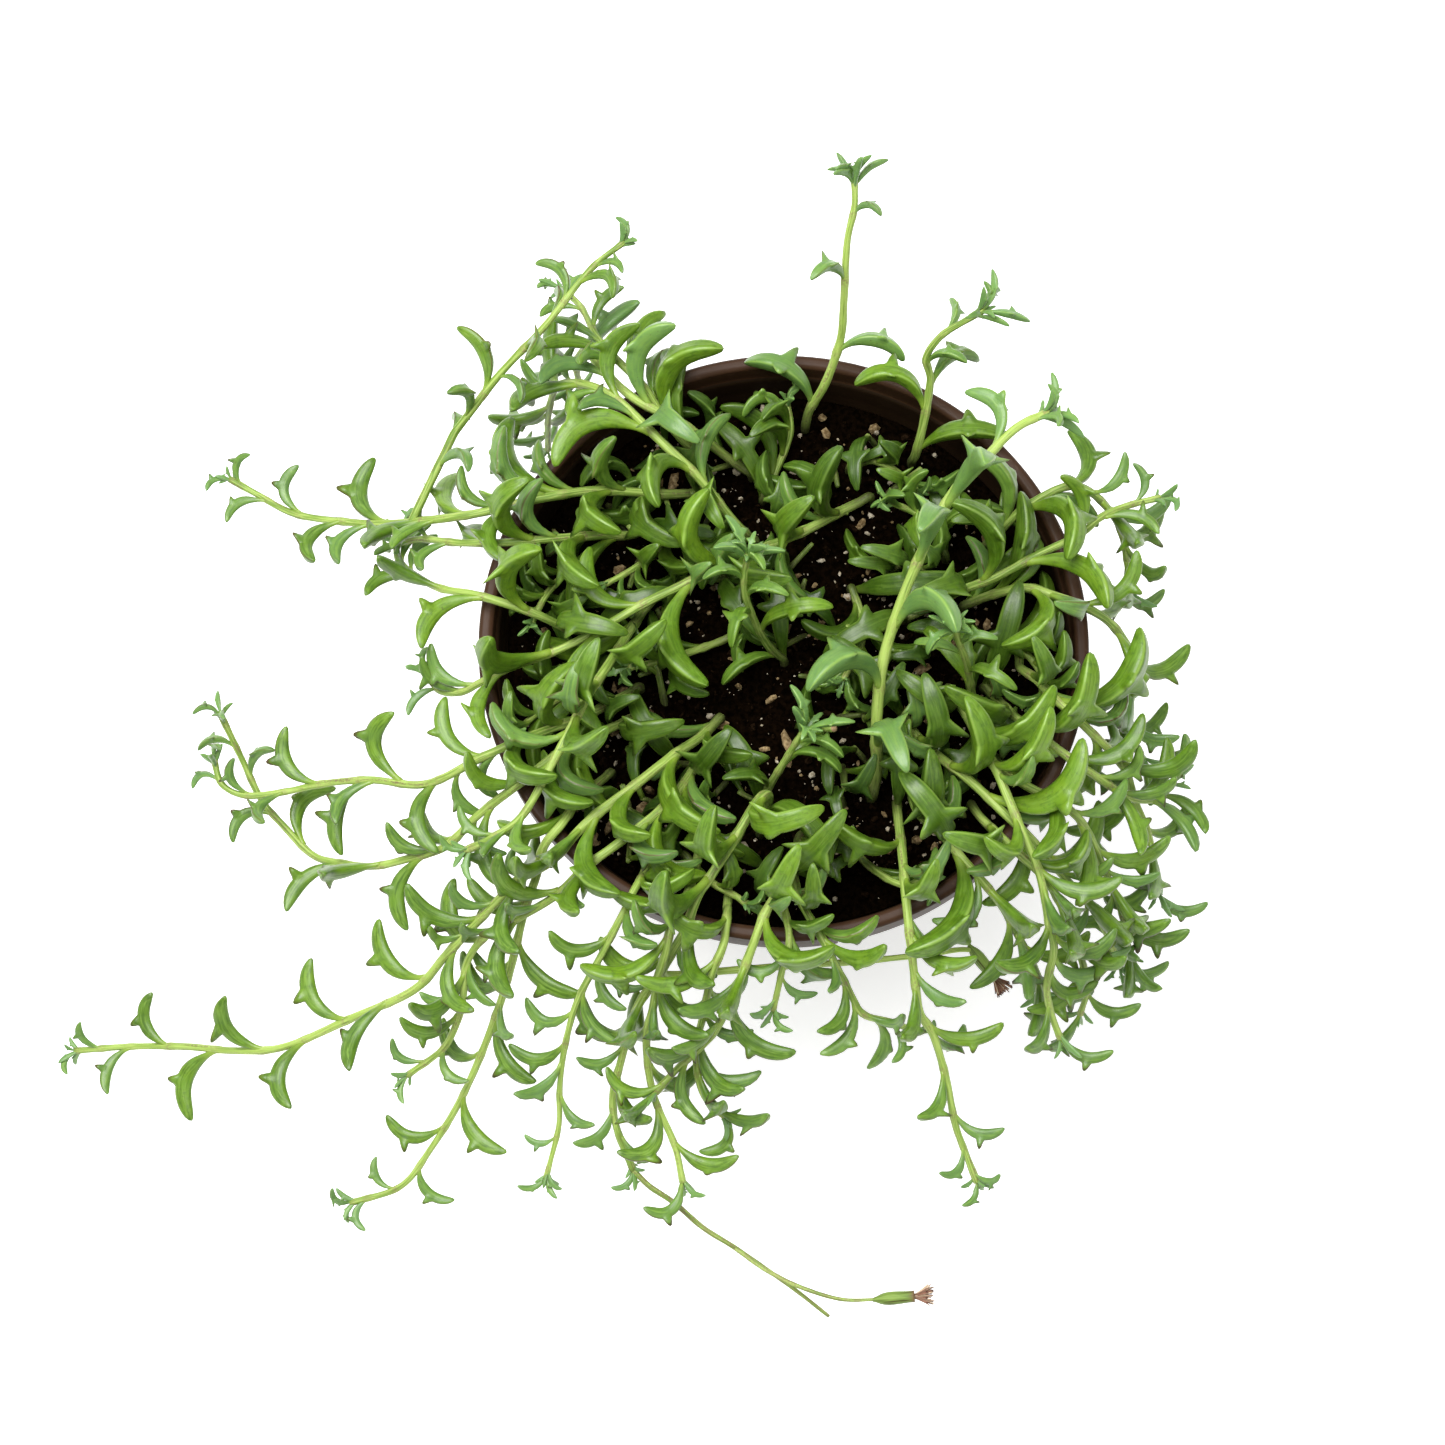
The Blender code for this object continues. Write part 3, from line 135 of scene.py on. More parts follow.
# Each stem: radius, leaf length, leaf spacing, bare length at the root, then the points of
# its route, laid out on the plane of the rim, each with its own height
STEMS = {
    "01": (1.25, 20, 10.5, 34, ((-8, 46, 92), (-13, 51, 99), (-22, 58, 108), (-35, 67, 114),
        (-47, 78, 113), (-51, 81, 104), (-53, 77, 88), (-52, 71, 66))),
    "02": (1.25, 20, 10.5, 12, ((-21, 41, 92), (-31, 42, 100), (-47, 43, 108), (-61, 41, 113),
        (-77, 37, 114), (-90, 35, 108), (-102, 34, 100), (-115, 35, 94), (-125, 37, 90),
        (-134, 42, 88), (-141, 46, 87))),
    "03": (1.2, 20, 10, 14, ((-33, 32, 92), (-39, 31, 100), (-46, 31, 106), (-59, 30, 112),
        (-72, 29, 113), (-83, 29, 109), (-92, 30, 101), (-98, 28, 93))),
    "04": (1.2, 20, 10, 14, ((-46, 3, 92), (-56, 7, 104), (-65, 11, 112), (-77, 15, 112),
        (-87, 17, 106), (-94, 21, 98), (-98, 26, 92), (-97, 32, 88))),
    "05": (1.3, 21, 10.5, 24, ((22, 40, 92), (14, 37, 98), (7, 33, 104), (-8, 26, 112),
        (-23, 19, 115), (-35, 13, 115), (-45, 7, 114), (-56, 1, 114), (-71, -5, 113),
        (-80, -10, 108), (-86, -10, 102), (-90, -5, 99))),
    "06": (1.2, 19, 10, 14, ((-36, -10, 92), (-49, -16, 104), (-64, -22, 114), (-75, -27, 113),
        (-89, -34, 105), (-103, -33, 97), (-115, -34, 90), (-124, -36, 86), (-134, -37, 84),
        (-140, -34, 84), (-142, -28, 85))),
    "07": (1.2, 18, 10, 14, ((-36, -17, 92), (-46, -21, 104), (-56, -26, 112), (-66, -34, 112),
        (-76, -42, 105), (-84, -50, 98), (-93, -53, 92), (-102, -55, 86), (-111, -54, 82),
        (-117, -52, 79), (-124, -45, 77), (-130, -38, 76), (-135, -28, 80), (-141, -16, 86))),
    "08": (1.3, 20, 11, 12, ((-32, 14, 92), (-36, 10, 101), (-44, -3, 116), (-49, -11, 122),
        (-52, -17, 124), (-57, -27, 124), (-65, -42, 120), (-73, -48, 116), (-79, -51, 112))),
    "09": (1.3, 20, 11, 20, ((-16, -18, 92), (-21, -22, 102), (-28, -27, 110), (-38, -35, 114),
        (-48, -43, 114), (-57, -52, 110), (-66, -59, 104), (-74, -67, 96), (-83, -77, 86),
        (-91, -86, 76), (-106, -93, 64), (-122, -100, 52), (-134, -101, 45), (-146, -100, 38),
        (-160, -100, 30), (-173, -101, 24))),
    "10": (1.25, 20, 10.5, 14, ((-19, -25, 92), (-25, -34, 104), (-30, -40, 111),
        (-41, -49, 113), (-49, -55, 111), (-56, -62, 106), (-64, -67, 100), (-73, -72, 92),
        (-78, -79, 84), (-79, -89, 76), (-81, -96, 70), (-84, -101, 66), (-92, -107, 60))),
    "11": (1.2, 18, 11, 20, ((-43, -32, 92), (-51, -38, 106), (-55, -44, 112), (-59, -50, 110),
        (-61, -55, 107), (-64, -65, 98), (-67, -79, 86), (-70, -90, 76), (-75, -104, 64),
        (-80, -115, 54), (-86, -125, 46), (-93, -134, 40), (-105, -138, 36))),
    "12": (1.0, 15, 13, 26, ((-32, -51, 92), (-36, -59, 106), (-40, -67, 112), (-45, -77, 106),
        (-51, -89, 96), (-54, -101, 86), (-55, -111, 78), (-55, -119, 72), (-57, -128, 66),
        (-58, -132, 64))),
    "13": (1.35, 21, 10.5, 22, ((-6, -47, 92), (-5, -42, 102), (-4, -37, 112), (-7, -39, 117),
        (-13, -49, 119), (-18, -57, 119), (-23, -65, 116), (-30, -81, 104), (-36, -91, 96),
        (-38, -95, 91), (-40, -103, 84), (-42, -112, 78), (-41, -120, 73), (-37, -130, 68))),
    "14": (1.25, 21, 10, 14, ((4, -48, 92), (2, -53, 104), (-1, -60, 114), (-5, -67, 117),
        (-8, -75, 115), (-13, -88, 106), (-18, -97, 98), (-26, -105, 90), (-32, -111, 86))),
    "15": (1.2, 19, 11, 16, ((1, -55, 92), (3, -61, 104), (5, -66, 111), (9, -73, 113),
        (13, -81, 108), (16, -87, 102), (19, -92, 98), (26, -94, 92), (31, -96, 88))),
    "16": (1.1, 20, 10, 12, ((-4, -56, 92), (-1, -63, 105), (1, -73, 113), (-1, -82, 106),
        (-3, -91, 98))),
    "17": (1.25, 18, 11, 14, ((27, -38, 92), (28, -41, 98), (29, -51, 108), (30, -65, 114),
        (31, -76, 112), (32, -86, 106), (33, -92, 101), (36, -97, 97), (39, -108, 90),
        (41, -119, 84), (43, -125, 80), (46, -133, 76))),
    "18": (1.2, 22, 10.5, 14, ((29, -36, 92), (33, -41, 101), (39, -47, 108), (43, -52, 112),
        (49, -59, 112), (54, -66, 106), (57, -72, 98), (61, -80, 88), (63, -86, 78))),
    "19": (1.25, 22, 10.5, 12, ((30, -18, 92), (35, -24, 104), (46, -33, 112), (55, -42, 114),
        (61, -48, 110), (65, -53, 104), (71, -60, 96), (76, -66, 88), (80, -74, 78),
        (82, -80, 70))),
    "20": (1.3, 20, 11, 22, ((41, -10, 93), (46, -17, 108), (50, -25, 116), (53, -31, 120),
        (58, -44, 121), (63, -57, 117), (65, -70, 110), (66, -76, 105), (64, -85, 97),
        (65, -92, 90), (67, -98, 86))),
    "21": (1.25, 22, 10.5, 12, ((50, -10, 92), (57, -16, 104), (63, -21, 112), (72, -28, 113),
        (79, -33, 108), (85, -37, 100), (91, -38, 92), (96, -34, 86))),
    "22": (1.25, 21, 10.5, 12, ((31, 8, 92), (37, 12, 100), (44, 16, 107), (54, 20, 113),
        (65, 26, 116), (75, 31, 115), (81, 36, 113), (88, 39, 112), (96, 41, 112))),
    "23": (1.25, 20, 10.5, 12, ((45, 11, 92), (52, 15, 102), (61, 17, 110), (68, 15, 113),
        (76, 12, 112), (83, 7, 106), (88, -2, 96), (87, -11, 86), (86, -19, 76), (89, -27, 66))),
    "24": (1.5, 22, 14, 30, ((24, -38, 92), (23, -30, 102), (23, -20, 114), (24, -8, 122),
        (26, 2, 128), (30, 14, 135), (34, 24, 140), (39, 35, 144), (45, 45, 148), (52, 52, 150),
        (60, 60, 151), (68, 64, 150))),
    "25": (1.2, 17, 11, 22, ((33, 50, 92), (34, 53, 104), (36, 61, 114), (38, 73, 124),
        (37, 79, 130), (41, 85, 136), (47, 89, 140), (52, 92, 142))),
    "26": (1.2, 17, 16, 18, ((6, 62, 92), (7, 65, 104), (11, 72, 114), (15, 84, 124),
        (16, 95, 134), (17, 111, 146), (19, 121, 152), (19, 129, 156))),
    "27": (1.1, 18, 8, 8, ((0, -3, 92), (-4, 2, 104), (-8, 10, 120), (-10, 18, 132),
        (-9, 26, 140))),
    "28": (1.1, 17, 8, 10, ((47, -16, 92), (47, -10, 106), (46, -3, 122), (44, 3, 134),
        (43, 7, 140))),
    "29": (1.2, 20, 10.5, 20, ((-7, 28, 92), (-12, 34, 106), (-22, 47, 117), (-30, 55, 120),
        (-43, 68, 120), (-52, 72, 115), (-58, 71, 104), (-60, 63, 84), (-60, 54, 58))),
    "30": (1.1, 23, 7, 4, ((-53, 24, 92), (-56, 20, 99), (-60, 15, 105), (-63, 8, 108))),
    "31": (1.1, 23, 7, 4, ((-24, 35, 92), (-30, 28, 99), (-38, 22, 103), (-45, 18, 106))),
    "32": (1.1, 22, 7, 4, ((-13, 3, 92), (-21, 1, 98), (-30, -2, 103), (-39, -4, 107))),
    "33": (1.1, 24, 7, 4, ((17, 16, 92), (20, 8, 98), (19, 1, 103), (15, -7, 107))),
    "34": (1.1, 23, 7, 4, ((41, 24, 92), (39, 30, 100), (35, 36, 105), (27, 40, 108))),
    "35": (1.1, 24, 8, 4, ((-5, 40, 92), (-1, 50, 98), (2, 59, 103), (1, 67, 107))),
    "36": (1.1, 22, 8, 4, ((17, 48, 92), (23, 51, 98), (29, 48, 102), (34, 43, 106))),
    "37": (1.1, 24, 7, 4, ((51, 3, 92), (57, 1, 99), (63, -5, 104), (65, -12, 107))),
    "38": (1.1, 23, 8, 4, ((16, -51, 92), (21, -55, 98), (27, -59, 104), (35, -61, 108))),
    "39": (1.1, 22, 8, 4, ((-23, -51, 92), (-21, -56, 98), (-16, -61, 104), (-10, -65, 108))),
    "40": (1.1, 23, 7, 4, ((-49, -12, 92), (-56, -12, 100), (-62, -16, 105), (-67, -21, 108))),
    "41": (1.2, 20, 10, 14, ((51, 27, 92), (54, 31, 104), (61, 38, 112), (72, 44, 115),
        (79, 42, 110), (85, 34, 101), (87, 24, 90), (87, 16, 82))),
    "42": (1.2, 21, 10.5, 14, ((52, -28, 92), (55, -31, 104), (61, -35, 112), (70, -40, 114),
        (75, -46, 106), (79, -56, 94), (83, -67, 82), (84, -77, 72))),
    "43": (1.2, 21, 10.5, 14, ((58, 1, 92), (61, -4, 104), (67, -11, 112), (76, -20, 114),
        (84, -29, 104), (88, -39, 93), (91, -51, 82), (92, -62, 74))),
    "44": (1.15, 20, 10, 12, ((46, -40, 92), (49, -43, 104), (55, -49, 112), (64, -58, 114),
        (69, -67, 106), (72, -76, 96), (74, -85, 86), (72, -92, 78))),
    "45": (1.15, 20, 10, 14, ((-22, 52, 92), (-25, 56, 104), (-31, 64, 112), (-42, 76, 115),
        (-48, 85, 109), (-52, 93, 102), (-57, 98, 97))),
    "46": (1.2, 20, 10.5, 14, ((-22, -50, 92), (-23, -59, 104), (-26, -67, 112), (-29, -76, 112),
        (-32, -86, 102), (-34, -98, 92), (-32, -112, 84), (-27, -124, 78), (-25, -133, 74))),
    "47": (1.15, 20, 10, 12, ((-14, -56, 92), (-14, -65, 104), (-15, -74, 112), (-18, -82, 109),
        (-20, -92, 99), (-22, -102, 90), (-20, -112, 83), (-15, -117, 79))),
    "48": (1.1, 20, 9, 10, ((-6, -40, 92), (-4, -35, 100), (-1, -30, 110), (2, -25, 118),
        (5, -20, 125))),
}

# Stems whose leaves stay large up to the tip
LARGE_TO_TIP = ("14", "18", "19", "20", "21", "23", "41", "42", "43", "44", "46", "47")

# Shoots that grow from another stem: the stem they leave, then the same entries
SHOOTS = {
    "02": (1.15, 18, 13, 40, ((-94, 44, 105), (-85, 57, 113), (-73, 74, 122), (-61, 88, 130),
        (-50, 103, 134), (-41, 111, 136))),
}

# Bare flower stalks, all on the one flowering stem: radius and route. The one counted as
# FORKED, from 0, leaves the stalk before it
FLOWERING = "13"
FORKED = 1
STALKS = (
    (0.75, ((-37, -130, 68), (-33, -134, 67), (-27, -138, 66), (-20, -144, 64), (-12, -149, 62),
        (1, -158, 58), (10, -165, 55))),
    (0.65, ((-12, -149, 62), (-5, -154, 63), (3, -158, 64), (13, -161, 65), (22, -161, 66))),
    (0.75, ((-30, -81, 104), (-29, -82, 99), (-24, -82, 96), (-12, -81, 94), (1, -80, 93),
        (17, -79, 92), (27, -78, 91), (36, -77, 90), (42, -76, 89), (46, -76, 88))),
)

# Spent flowers that end two of the stalks: where each starts and a point that it grows towards,
# then the length and the radius of the green cup and the length of the dry tuft
HEADS = (
    ((22, -161, 66), (34, -160, 67)),
    ((46, -76, 88), (52, -84, 85)),
)
HEAD_LENGTH = 9.0
HEAD_RADIUS = 1.6
TUFT_LENGTH = 5.0

# The pot's rim and wall, as thick lines in its section: radius and height at both ends, thickness
POT_LINES = (
    (RIM_RADIUS - 2.0, RIM_TOP - 2.0, RIM_RADIUS - 2.2, RIM_TOP - LIP_DROP + 1.0, 2.9),
    (RIM_RADIUS - 4.6, RIM_TOP - LIP_DROP, BASE_RADIUS - 0.5, 2.0, 1.5),
)

# Places of the balls that cover a leaf, as shares of its length
CHAIN = np.array((0.16, 0.27, 0.38, 0.49, 0.6, 0.7, 0.79, 0.87, 0.94, 0.99))

# Half of a leaf's section, from its inner ridge round to the middle of its outer face: places as
# shares of the half width inward and sideways, then how far each is a ridge, a face and a fin
HALF_SECTION = np.array((
    (0.98, 0.0, 0.58, 0.0, 0.0), (0.9, 0.25, 0.2, 0.0, 0.0), (0.66, 0.5, 0.0, 0.5, 0.0),
    (0.3, 0.71, 0.0, 1.0, 0.0), (-0.12, 0.86, 0.0, 0.8, 0.03), (-0.5, 0.94, 0.3, 0.2, 0.33),
    (-0.78, 0.88, 1.0, 0.0, 1.0), (-0.92, 0.62, 0.35, 0.2, 0.4), (-0.92, 0.32, 0.0, 0.8, 0.05),
    (-0.9, 0.0, 0.0, 1.0, 0.0),
))
SECTION = np.vstack([HALF_SECTION, HALF_SECTION[-2:0:-1] * (1.0, -1.0, 1.0, 1.0, 1.0)])
AROUND = len(SECTION)

# Places of a leaf's rings as shares of its length, close together at the fins
BIG_RINGS = np.concatenate([np.linspace(0.0, 0.48, 9, endpoint=False),
    np.linspace(0.48, 0.69, 12, endpoint=False), np.linspace(0.69, 0.985, 8)])
SMALL_RINGS = np.concatenate([np.linspace(0.0, 0.46, 4, endpoint=False),
    np.linspace(0.46, 0.7, 7, endpoint=False), np.linspace(0.7, 0.98, 4)])

# Half width of a leaf at shares of its length, as a share of the widest
PROFILE = ((0.0, 0.38), (0.08, 0.34), (0.16, 0.44), (0.28, 0.68), (0.42, 0.9), (0.58, 0.98),
    (0.72, 0.95), (0.84, 0.8), (0.93, 0.56), (1.0, 0.2))

# Camera: what it looks at, and its lens
AIM = np.array((-15.4, -21.3, 108.0))
LENS = 84.71

# Stems painted pale and bright all along, as painted light where they catch the light
LIT_STEMS = ("01", "24", "26")

# Stems that rise, with larger young leaves at their tips
YOUNG = ("24", "25", "26", "27", "28", "48")

# Side leaves: bare lengths at a stem's foot and tip, the least distance to a large leaf's foot,
# how far out they still grow, and their least and greatest lengths: outside the pot, there on
# stems with large leaves, and inside it
SIDE_FROM = 16.0
SIDE_UNTIL = 10.0
SIDE_APART = 3.4
SIDE_REACH = 118.0
SIDE_OUTSIDE = (12, 18)
SIDE_LARGE = (15, 21)
SIDE_INSIDE = (18, 25)
SIDE_SEED = 300

# Added leaves take this share of their size as room, and are left out below this share of the
# length that was asked for
SNUG = 0.75
LEAST_LENGTH = 0.8

# Low shoots between the stems: how many, the turn from one to the next, their heights, the
# distance between their leaves, the leaves' lengths, and how many pieces they are put into
LOW_SHOOTS = 185
LOW_TURN = 2.39996
LOW_HEIGHT = (6.0, 13.0)
LOW_STEP = 3.2
LOW_LEAF = (19.0, 26.0)
LOW_SEED = 77
LOW_PIECES = 3

# Marks: where each begins and where it is full. Browning goes by the reach from the pot's axis,
# youth by a leaf's length and shade by its height. ROOT_SHADE is how far up a stem shade goes
STEM_BROWNING = (62.0, 112.0)
LEAF_BROWNING = (70.0, 100.0)
YOUTH = (19.0, 10.0)
SHADE = (111.0, 97.0)
ROOT_SHADE = 9.0

# The stalk, counted from 1, that is still green, and how much thicker it is than the dry ones
GREEN_STALK = 3
GREEN_STALK_THICKER = 1.35

# Young leaves at a stem's tip: the turn from one to the next, then growth, number and slimness
# on most stems, on those that rise and on those with large leaves
BUD_TURN = 2.4
BUDS = (1.0, 5, 1.15)
YOUNG_BUDS = (1.9, 7, 0.9)
LARGE_BUDS = (1.3, 4, 0.9)

# A stem's skin: distance between its rings, points round each, how much thicker it is at a leaf
# and over what length, the length of a leaf's scar, and its fine ribs
SKIN_STEP = 1.1
STEM_AROUND = 12
THICKER = 0.16
THICKER_OVER = 1.5
SCAR_OVER = 0.9
STEM_RIBS = 0.025

# How fast the lines of a skin change, across it and along it: on stems, leaves and cups
STEM_GRAIN = (2.4, 0.11)
LEAF_GRAIN = (2.0, 0.13)
CUP_GRAIN = (3.0, 1.2)

# Leaves: where the round foot ends and over what it turns into the three-sided body, as shares
# of the length, how thick the foot is, the edge's slight waves, and the sizes of fins as shares
# of the usual one, with their least and greatest half length
FOOT_ENDS = 0.03
BODY_OVER = 0.3
FOOT_THICK = 0.95
EDGE_WAVE = 0.04
FIN_SIZES = (0.3, 0.7, 0.9, 1.0, 1.15, 1.3)
FIN_HALF = (0.052, 0.068)

# Cut ends of old stems: place as in a route, lean, rise and radius, and then their length
STUBS = (
    (45.5, 19.0, 1.0, 0.1, 0.5, 1.25), (-13.0, -31.0, -0.4, 0.3, 1.0, 1.1),
    (9.0, -20.0, 0.5, -0.2, 0.9, 1.0),
)
STUB_LENGTH = 7.0

# A flower's cup: places along it with its radius at each, points round it, and how many ribs
CUP = ((-1.5, 0.5), (-0.6, 0.75), (0.3, 1.15), (1.2, 1.42), (2.4, 1.6), (3.6, 1.62), (5.0, 1.56),
    (6.4, 1.46), (7.6, 1.4), (8.5, 1.42), (9.0, 1.45), (9.0, 0.95), (7.6, 0.95))
CUP_AROUND = 24
CUP_RIBS = 8

# The bristles in a cup: how many, how deep they start, how far they spread at the foot and how
# much more at the tip, and the radius of one at both ends
BRISTLES = 64
TUFT_SUNK = 2.1
TUFT_FOOT = 0.5
TUFT_SPREAD = 2.3
BRISTLE_RADII = (0.2, 0.13)
TUFT_SEED = 40

# Inner radii of the pot's wall, at its base and under the lip, and the points round the pot
BASE_INSIDE = BASE_RADIUS - 2.6
LIP_INSIDE = RIM_RADIUS - 5.6
POT_AROUND = 180

# The soil's top: rings, points round each, the height of its bumps, the sizes of the largest and
# the smallest, and the number of waves that make them
SOIL_RINGS = 84
SOIL_AROUND = 260
BUMP_HEIGHT = 0.55
BUMP_SIZES = (22.0, 2.2)
WAVES = 70

# Leaf colours, as linear light, from the flesh to the marks on it; LEAF_SHADED is painted shade
LEAF_DARK = (0.062, 0.135, 0.004)
LEAF_LIGHT = (0.15, 0.27, 0.013)
LEAF_CLOUD = (0.115, 0.235, 0.014)
LEAF_DENT = (0.045, 0.105, 0.006)
LEAF_BLOOM = (0.092, 0.18, 0.03)
LEAF_GROOVE = (0.03, 0.08, 0.006)
LEAF_YOUNG = (0.15, 0.29, 0.1)
LEAF_SHADED = (0.013, 0.038, 0.002)
LEAF_STRIPE = (0.22, 0.36, 0.06)
LEAF_FOOT = (0.28, 0.4, 0.05)
LEAF_PALE_EDGE = (0.27, 0.42, 0.075)
LEAF_BROWN_EDGE = (0.085, 0.036, 0.022)
LEAF_SPECK = (0.08, 0.07, 0.02)

# Stem colours; STEM_SHADED is painted shade at a stem's foot
STEM_DARK = (0.13, 0.23, 0.025)
STEM_LIGHT = (0.32, 0.45, 0.085)
STEM_STRIPE = (0.4, 0.52, 0.13)
STEM_GROOVE = (0.09, 0.15, 0.02)
STEM_BROWN = (0.16, 0.085, 0.06)
STEM_SCAR = (0.2, 0.12, 0.07)
STEM_SHADED = (0.02, 0.014, 0.005)

# Colours of the flower cups and of their bristles
CUP_DARK = (0.06, 0.11, 0.012)
CUP_LIGHT = (0.2, 0.3, 0.055)
CUP_GROOVE = (0.06, 0.035, 0.012)
CUP_MOUTH = (0.16, 0.075, 0.04)
BRISTLE_FOOT = (0.12, 0.045, 0.025)
BRISTLE_BROWN = (0.36, 0.17, 0.11)
BRISTLE_PALE = (0.72, 0.58, 0.4)
BRISTLE_CLOUD = (0.16, 0.06, 0.04)
BRISTLE_TIP = (0.035, 0.012, 0.012)

# Pot colours, the last of them painted shade on the inner wall above the soil
POT_DARK = (0.038, 0.017, 0.008)
POT_LIGHT = (0.056, 0.027, 0.014)
POT_SCUFF = (0.095, 0.055, 0.034)
POT_INSIDE_SHADE = (0.012, 0.007, 0.003)

# Grounds: name, dark and light colour, grains to a metre, and relief in millimetres
PEAT = ("peat", (0.0011, 0.0007, 0.0004), (0.006, 0.0032, 0.0015), 700.0, 0.5)
CRUMB = ("peat crumb", (0.002, 0.0012, 0.0007), (0.022, 0.012, 0.006), 900.0, 0.2)
BARK = ("bark", (0.14, 0.09, 0.04), (0.46, 0.34, 0.18), 900.0, 0.15)
PERLITE = ("perlite", (0.32, 0.26, 0.17), (0.66, 0.6, 0.48), 1500.0, 0.1)
CUT_END = ("cut end", (0.3, 0.19, 0.1), (0.5, 0.36, 0.2), 1500.0, 0.1)

# Loose bits on the soil: ground, piece, number, least and greatest size, longest stretch,
# roughness and seed
LOOSE = (
    (CRUMB, "soil_crumbs", 1600, 0.5, 3.0, 1.7, 0.3, 11),
    (BARK, "bark_bits", 240, 0.7, 4.0, 1.9, 0.28, 12),
    (PERLITE, "perlite_bits", 700, 0.3, 2.2, 1.5, 0.2, 13),
)

# Studio, in metres: half the floor's width, its colours and glow, the light from all round, the
# lamps with their place, size and power, and the point that they face
FLOOR_HALF = 12.0
FLOOR_WHITES = ((0.86, 0.86, 0.86), (0.88, 0.88, 0.88))
FLOOR_GLOW = 0.55
WHITE = (1.0, 1.0, 1.0, 1.0)
SKY = 0.42
LAMPS = (("key", (-0.32, 0.2, 1.45), 1.0, 35.5), ("fill", (0.9, -0.7, 1.1), 0.9, 3.0))
LAMPS_FACE = Vector((0.0, 0.0, 0.09))


def placed(point):
    """A route point moved to its own height along the line of sight."""
    share = (EYE[2] - point[2]) / (EYE[2] - RIM_TOP)
    return EYE + (START + (point[0], point[1], RIM_TOP) - EYE) * share


def lengths_along(line):
    """How far along a line each of its points is."""
    return np.concatenate([[0.0], np.cumsum(np.linalg.norm(np.diff(line, axis=0), axis=1))])


def reach_of(point):
    """How far a point stands from the pot's upright axis."""
    return math.hypot(point[0], point[1])


def resampled(points, step):
    """The same line with its points at even steps."""
    along = lengths_along(points)
    count = max(3, int(round(along[-1] / step)) + 1)
    wanted = np.linspace(0.0, along[-1], count)
    return np.stack([np.interp(wanted, along, points[:, axis]) for axis in range(3)], axis=1)


def smooth(points, step):
    """A smooth curve through the points."""
    ends = np.vstack([2 * points[0] - points[1], points, 2 * points[-1] - points[-2]])
    made = []
    for index in range(1, len(ends) - 2):
        before, here, there, after = ends[index - 1 : index + 3]
        for t in np.linspace(0.0, 1.0, 12, endpoint=False):
            made.append(
                0.5 * (2 * here + (there - before) * t
                    + (2 * before - 5 * here + 4 * there - after) * t * t
                    + (3 * here - before - 3 * there + after) * t * t * t)
            )
    made.append(ends[-2])
    return resampled(np.array(made), step)


def spread_roots(roots):
    """Root points moved apart, so that each has soil round it."""
    roots = np.array(roots)
    for _ in range(ROOT_ROUNDS):
        apart = roots[:, None, :2] - roots[None, :, :2]
        gaps = np.linalg.norm(apart, axis=2) + np.eye(len(roots)) * 100
        push = np.where(gaps < ROOT_SPACING, (ROOT_SPACING - gaps) / gaps, 0.0)
        roots[:, :2] += 0.3 * (apart * push[:, :, None]).sum(axis=1)
        reach = np.linalg.norm(roots[:, :2], axis=1)
        roots[:, :2] *= np.minimum(1.0, ROOT_LIMIT / reach)[:, None]
    return roots


def pot_push(points, sizes):
    """How far and which way each point must move to clear the pot, the soil and the floor."""
    reach = np.linalg.norm(points[:, :2], axis=1) + 1e-6
    outward = points[:, :2] / reach[:, None]
    moved = np.zeros_like(points)
    for r0, z0, r1, z1, thick in POT_LINES:
        line = np.array((r1 - r0, z1 - z0))
        offset = np.stack([reach - r0, points[:, 2] - z0], axis=1)
        share = np.clip(offset @ line / (line @ line), 0.0, 1.0)
        away = offset - share[:, None] * line
        gap = np.linalg.norm(away, axis=1) + 1e-6
        short = np.maximum(0.0, thick + sizes + CLEAR - gap)
        step = away / gap[:, None] * short[:, None]
        moved[:, :2] += outward * step[:, :1]
        moved[:, 2] += step[:, 1]
    inside = reach < RIM_RADIUS - 4.0
    ground = np.where(inside, SOIL_TOP + 0.8, 0.6) + sizes
    moved[:, 2] = np.maximum(moved[:, 2], ground - points[:, 2])
    return moved


def ease_apart(lines, sizes, groups):
    """Stems moved, mostly up and down, until none crosses another, the pot or the soil."""
    starts = np.cumsum([0] + [len(line) for line in lines])
    points = np.vstack(lines)
    size = np.concatenate([np.full(len(line), s) for line, s in zip(lines, sizes)])
    group = np.concatenate([np.full(len(line), g) for line, g in zip(lines, groups)])
    free = np.ones(len(points))
    for begin in starts[:-1]:
        free[begin : begin + 3] = (0.0, 0.35, 0.75)
    for turn in range(EASE_ROUNDS):
        if turn % LOOK_EVERY == 0:
            near = np.linalg.norm(points[:, None] - points[None], axis=2) < NEAR
            near &= group[:, None] != group[None]
            one, two = np.nonzero(np.triu(near))
        apart = points[one] - points[two]
        gap = np.linalg.norm(apart, axis=1) + 1e-6
        short = np.maximum(0.0, size[one] + size[two] + STEM_ROOM - gap)
        way = apart * (SIDEWAYS, SIDEWAYS, 1.0)
        way[:, 2] += np.where(one > two, 0.01, -0.01)
        way /= np.linalg.norm(way, axis=1)[:, None]
        push = np.zeros_like(points)
        np.add.at(push, one, way * short[:, None] * PUSH_SHARE)
        np.add.at(push, two, -way * short[:, None] * PUSH_SHARE)
        for begin, end in zip(starts[:-1], starts[1:]):
            part = np.pad(push[begin:end], ((2, 2), (0, 0)), mode="edge")
            push[begin:end] = (part[:-4] + 2 * part[1:-3] + 3 * part[2:-2] + 2 * part[3:-1]
                + part[4:]) / 6.0
        points += push * free[:, None]
        points += pot_push(points, size + 0.8) * free[:, None] * 0.8
    return [points[begin:end] for begin, end in zip(starts[:-1], starts[1:])]


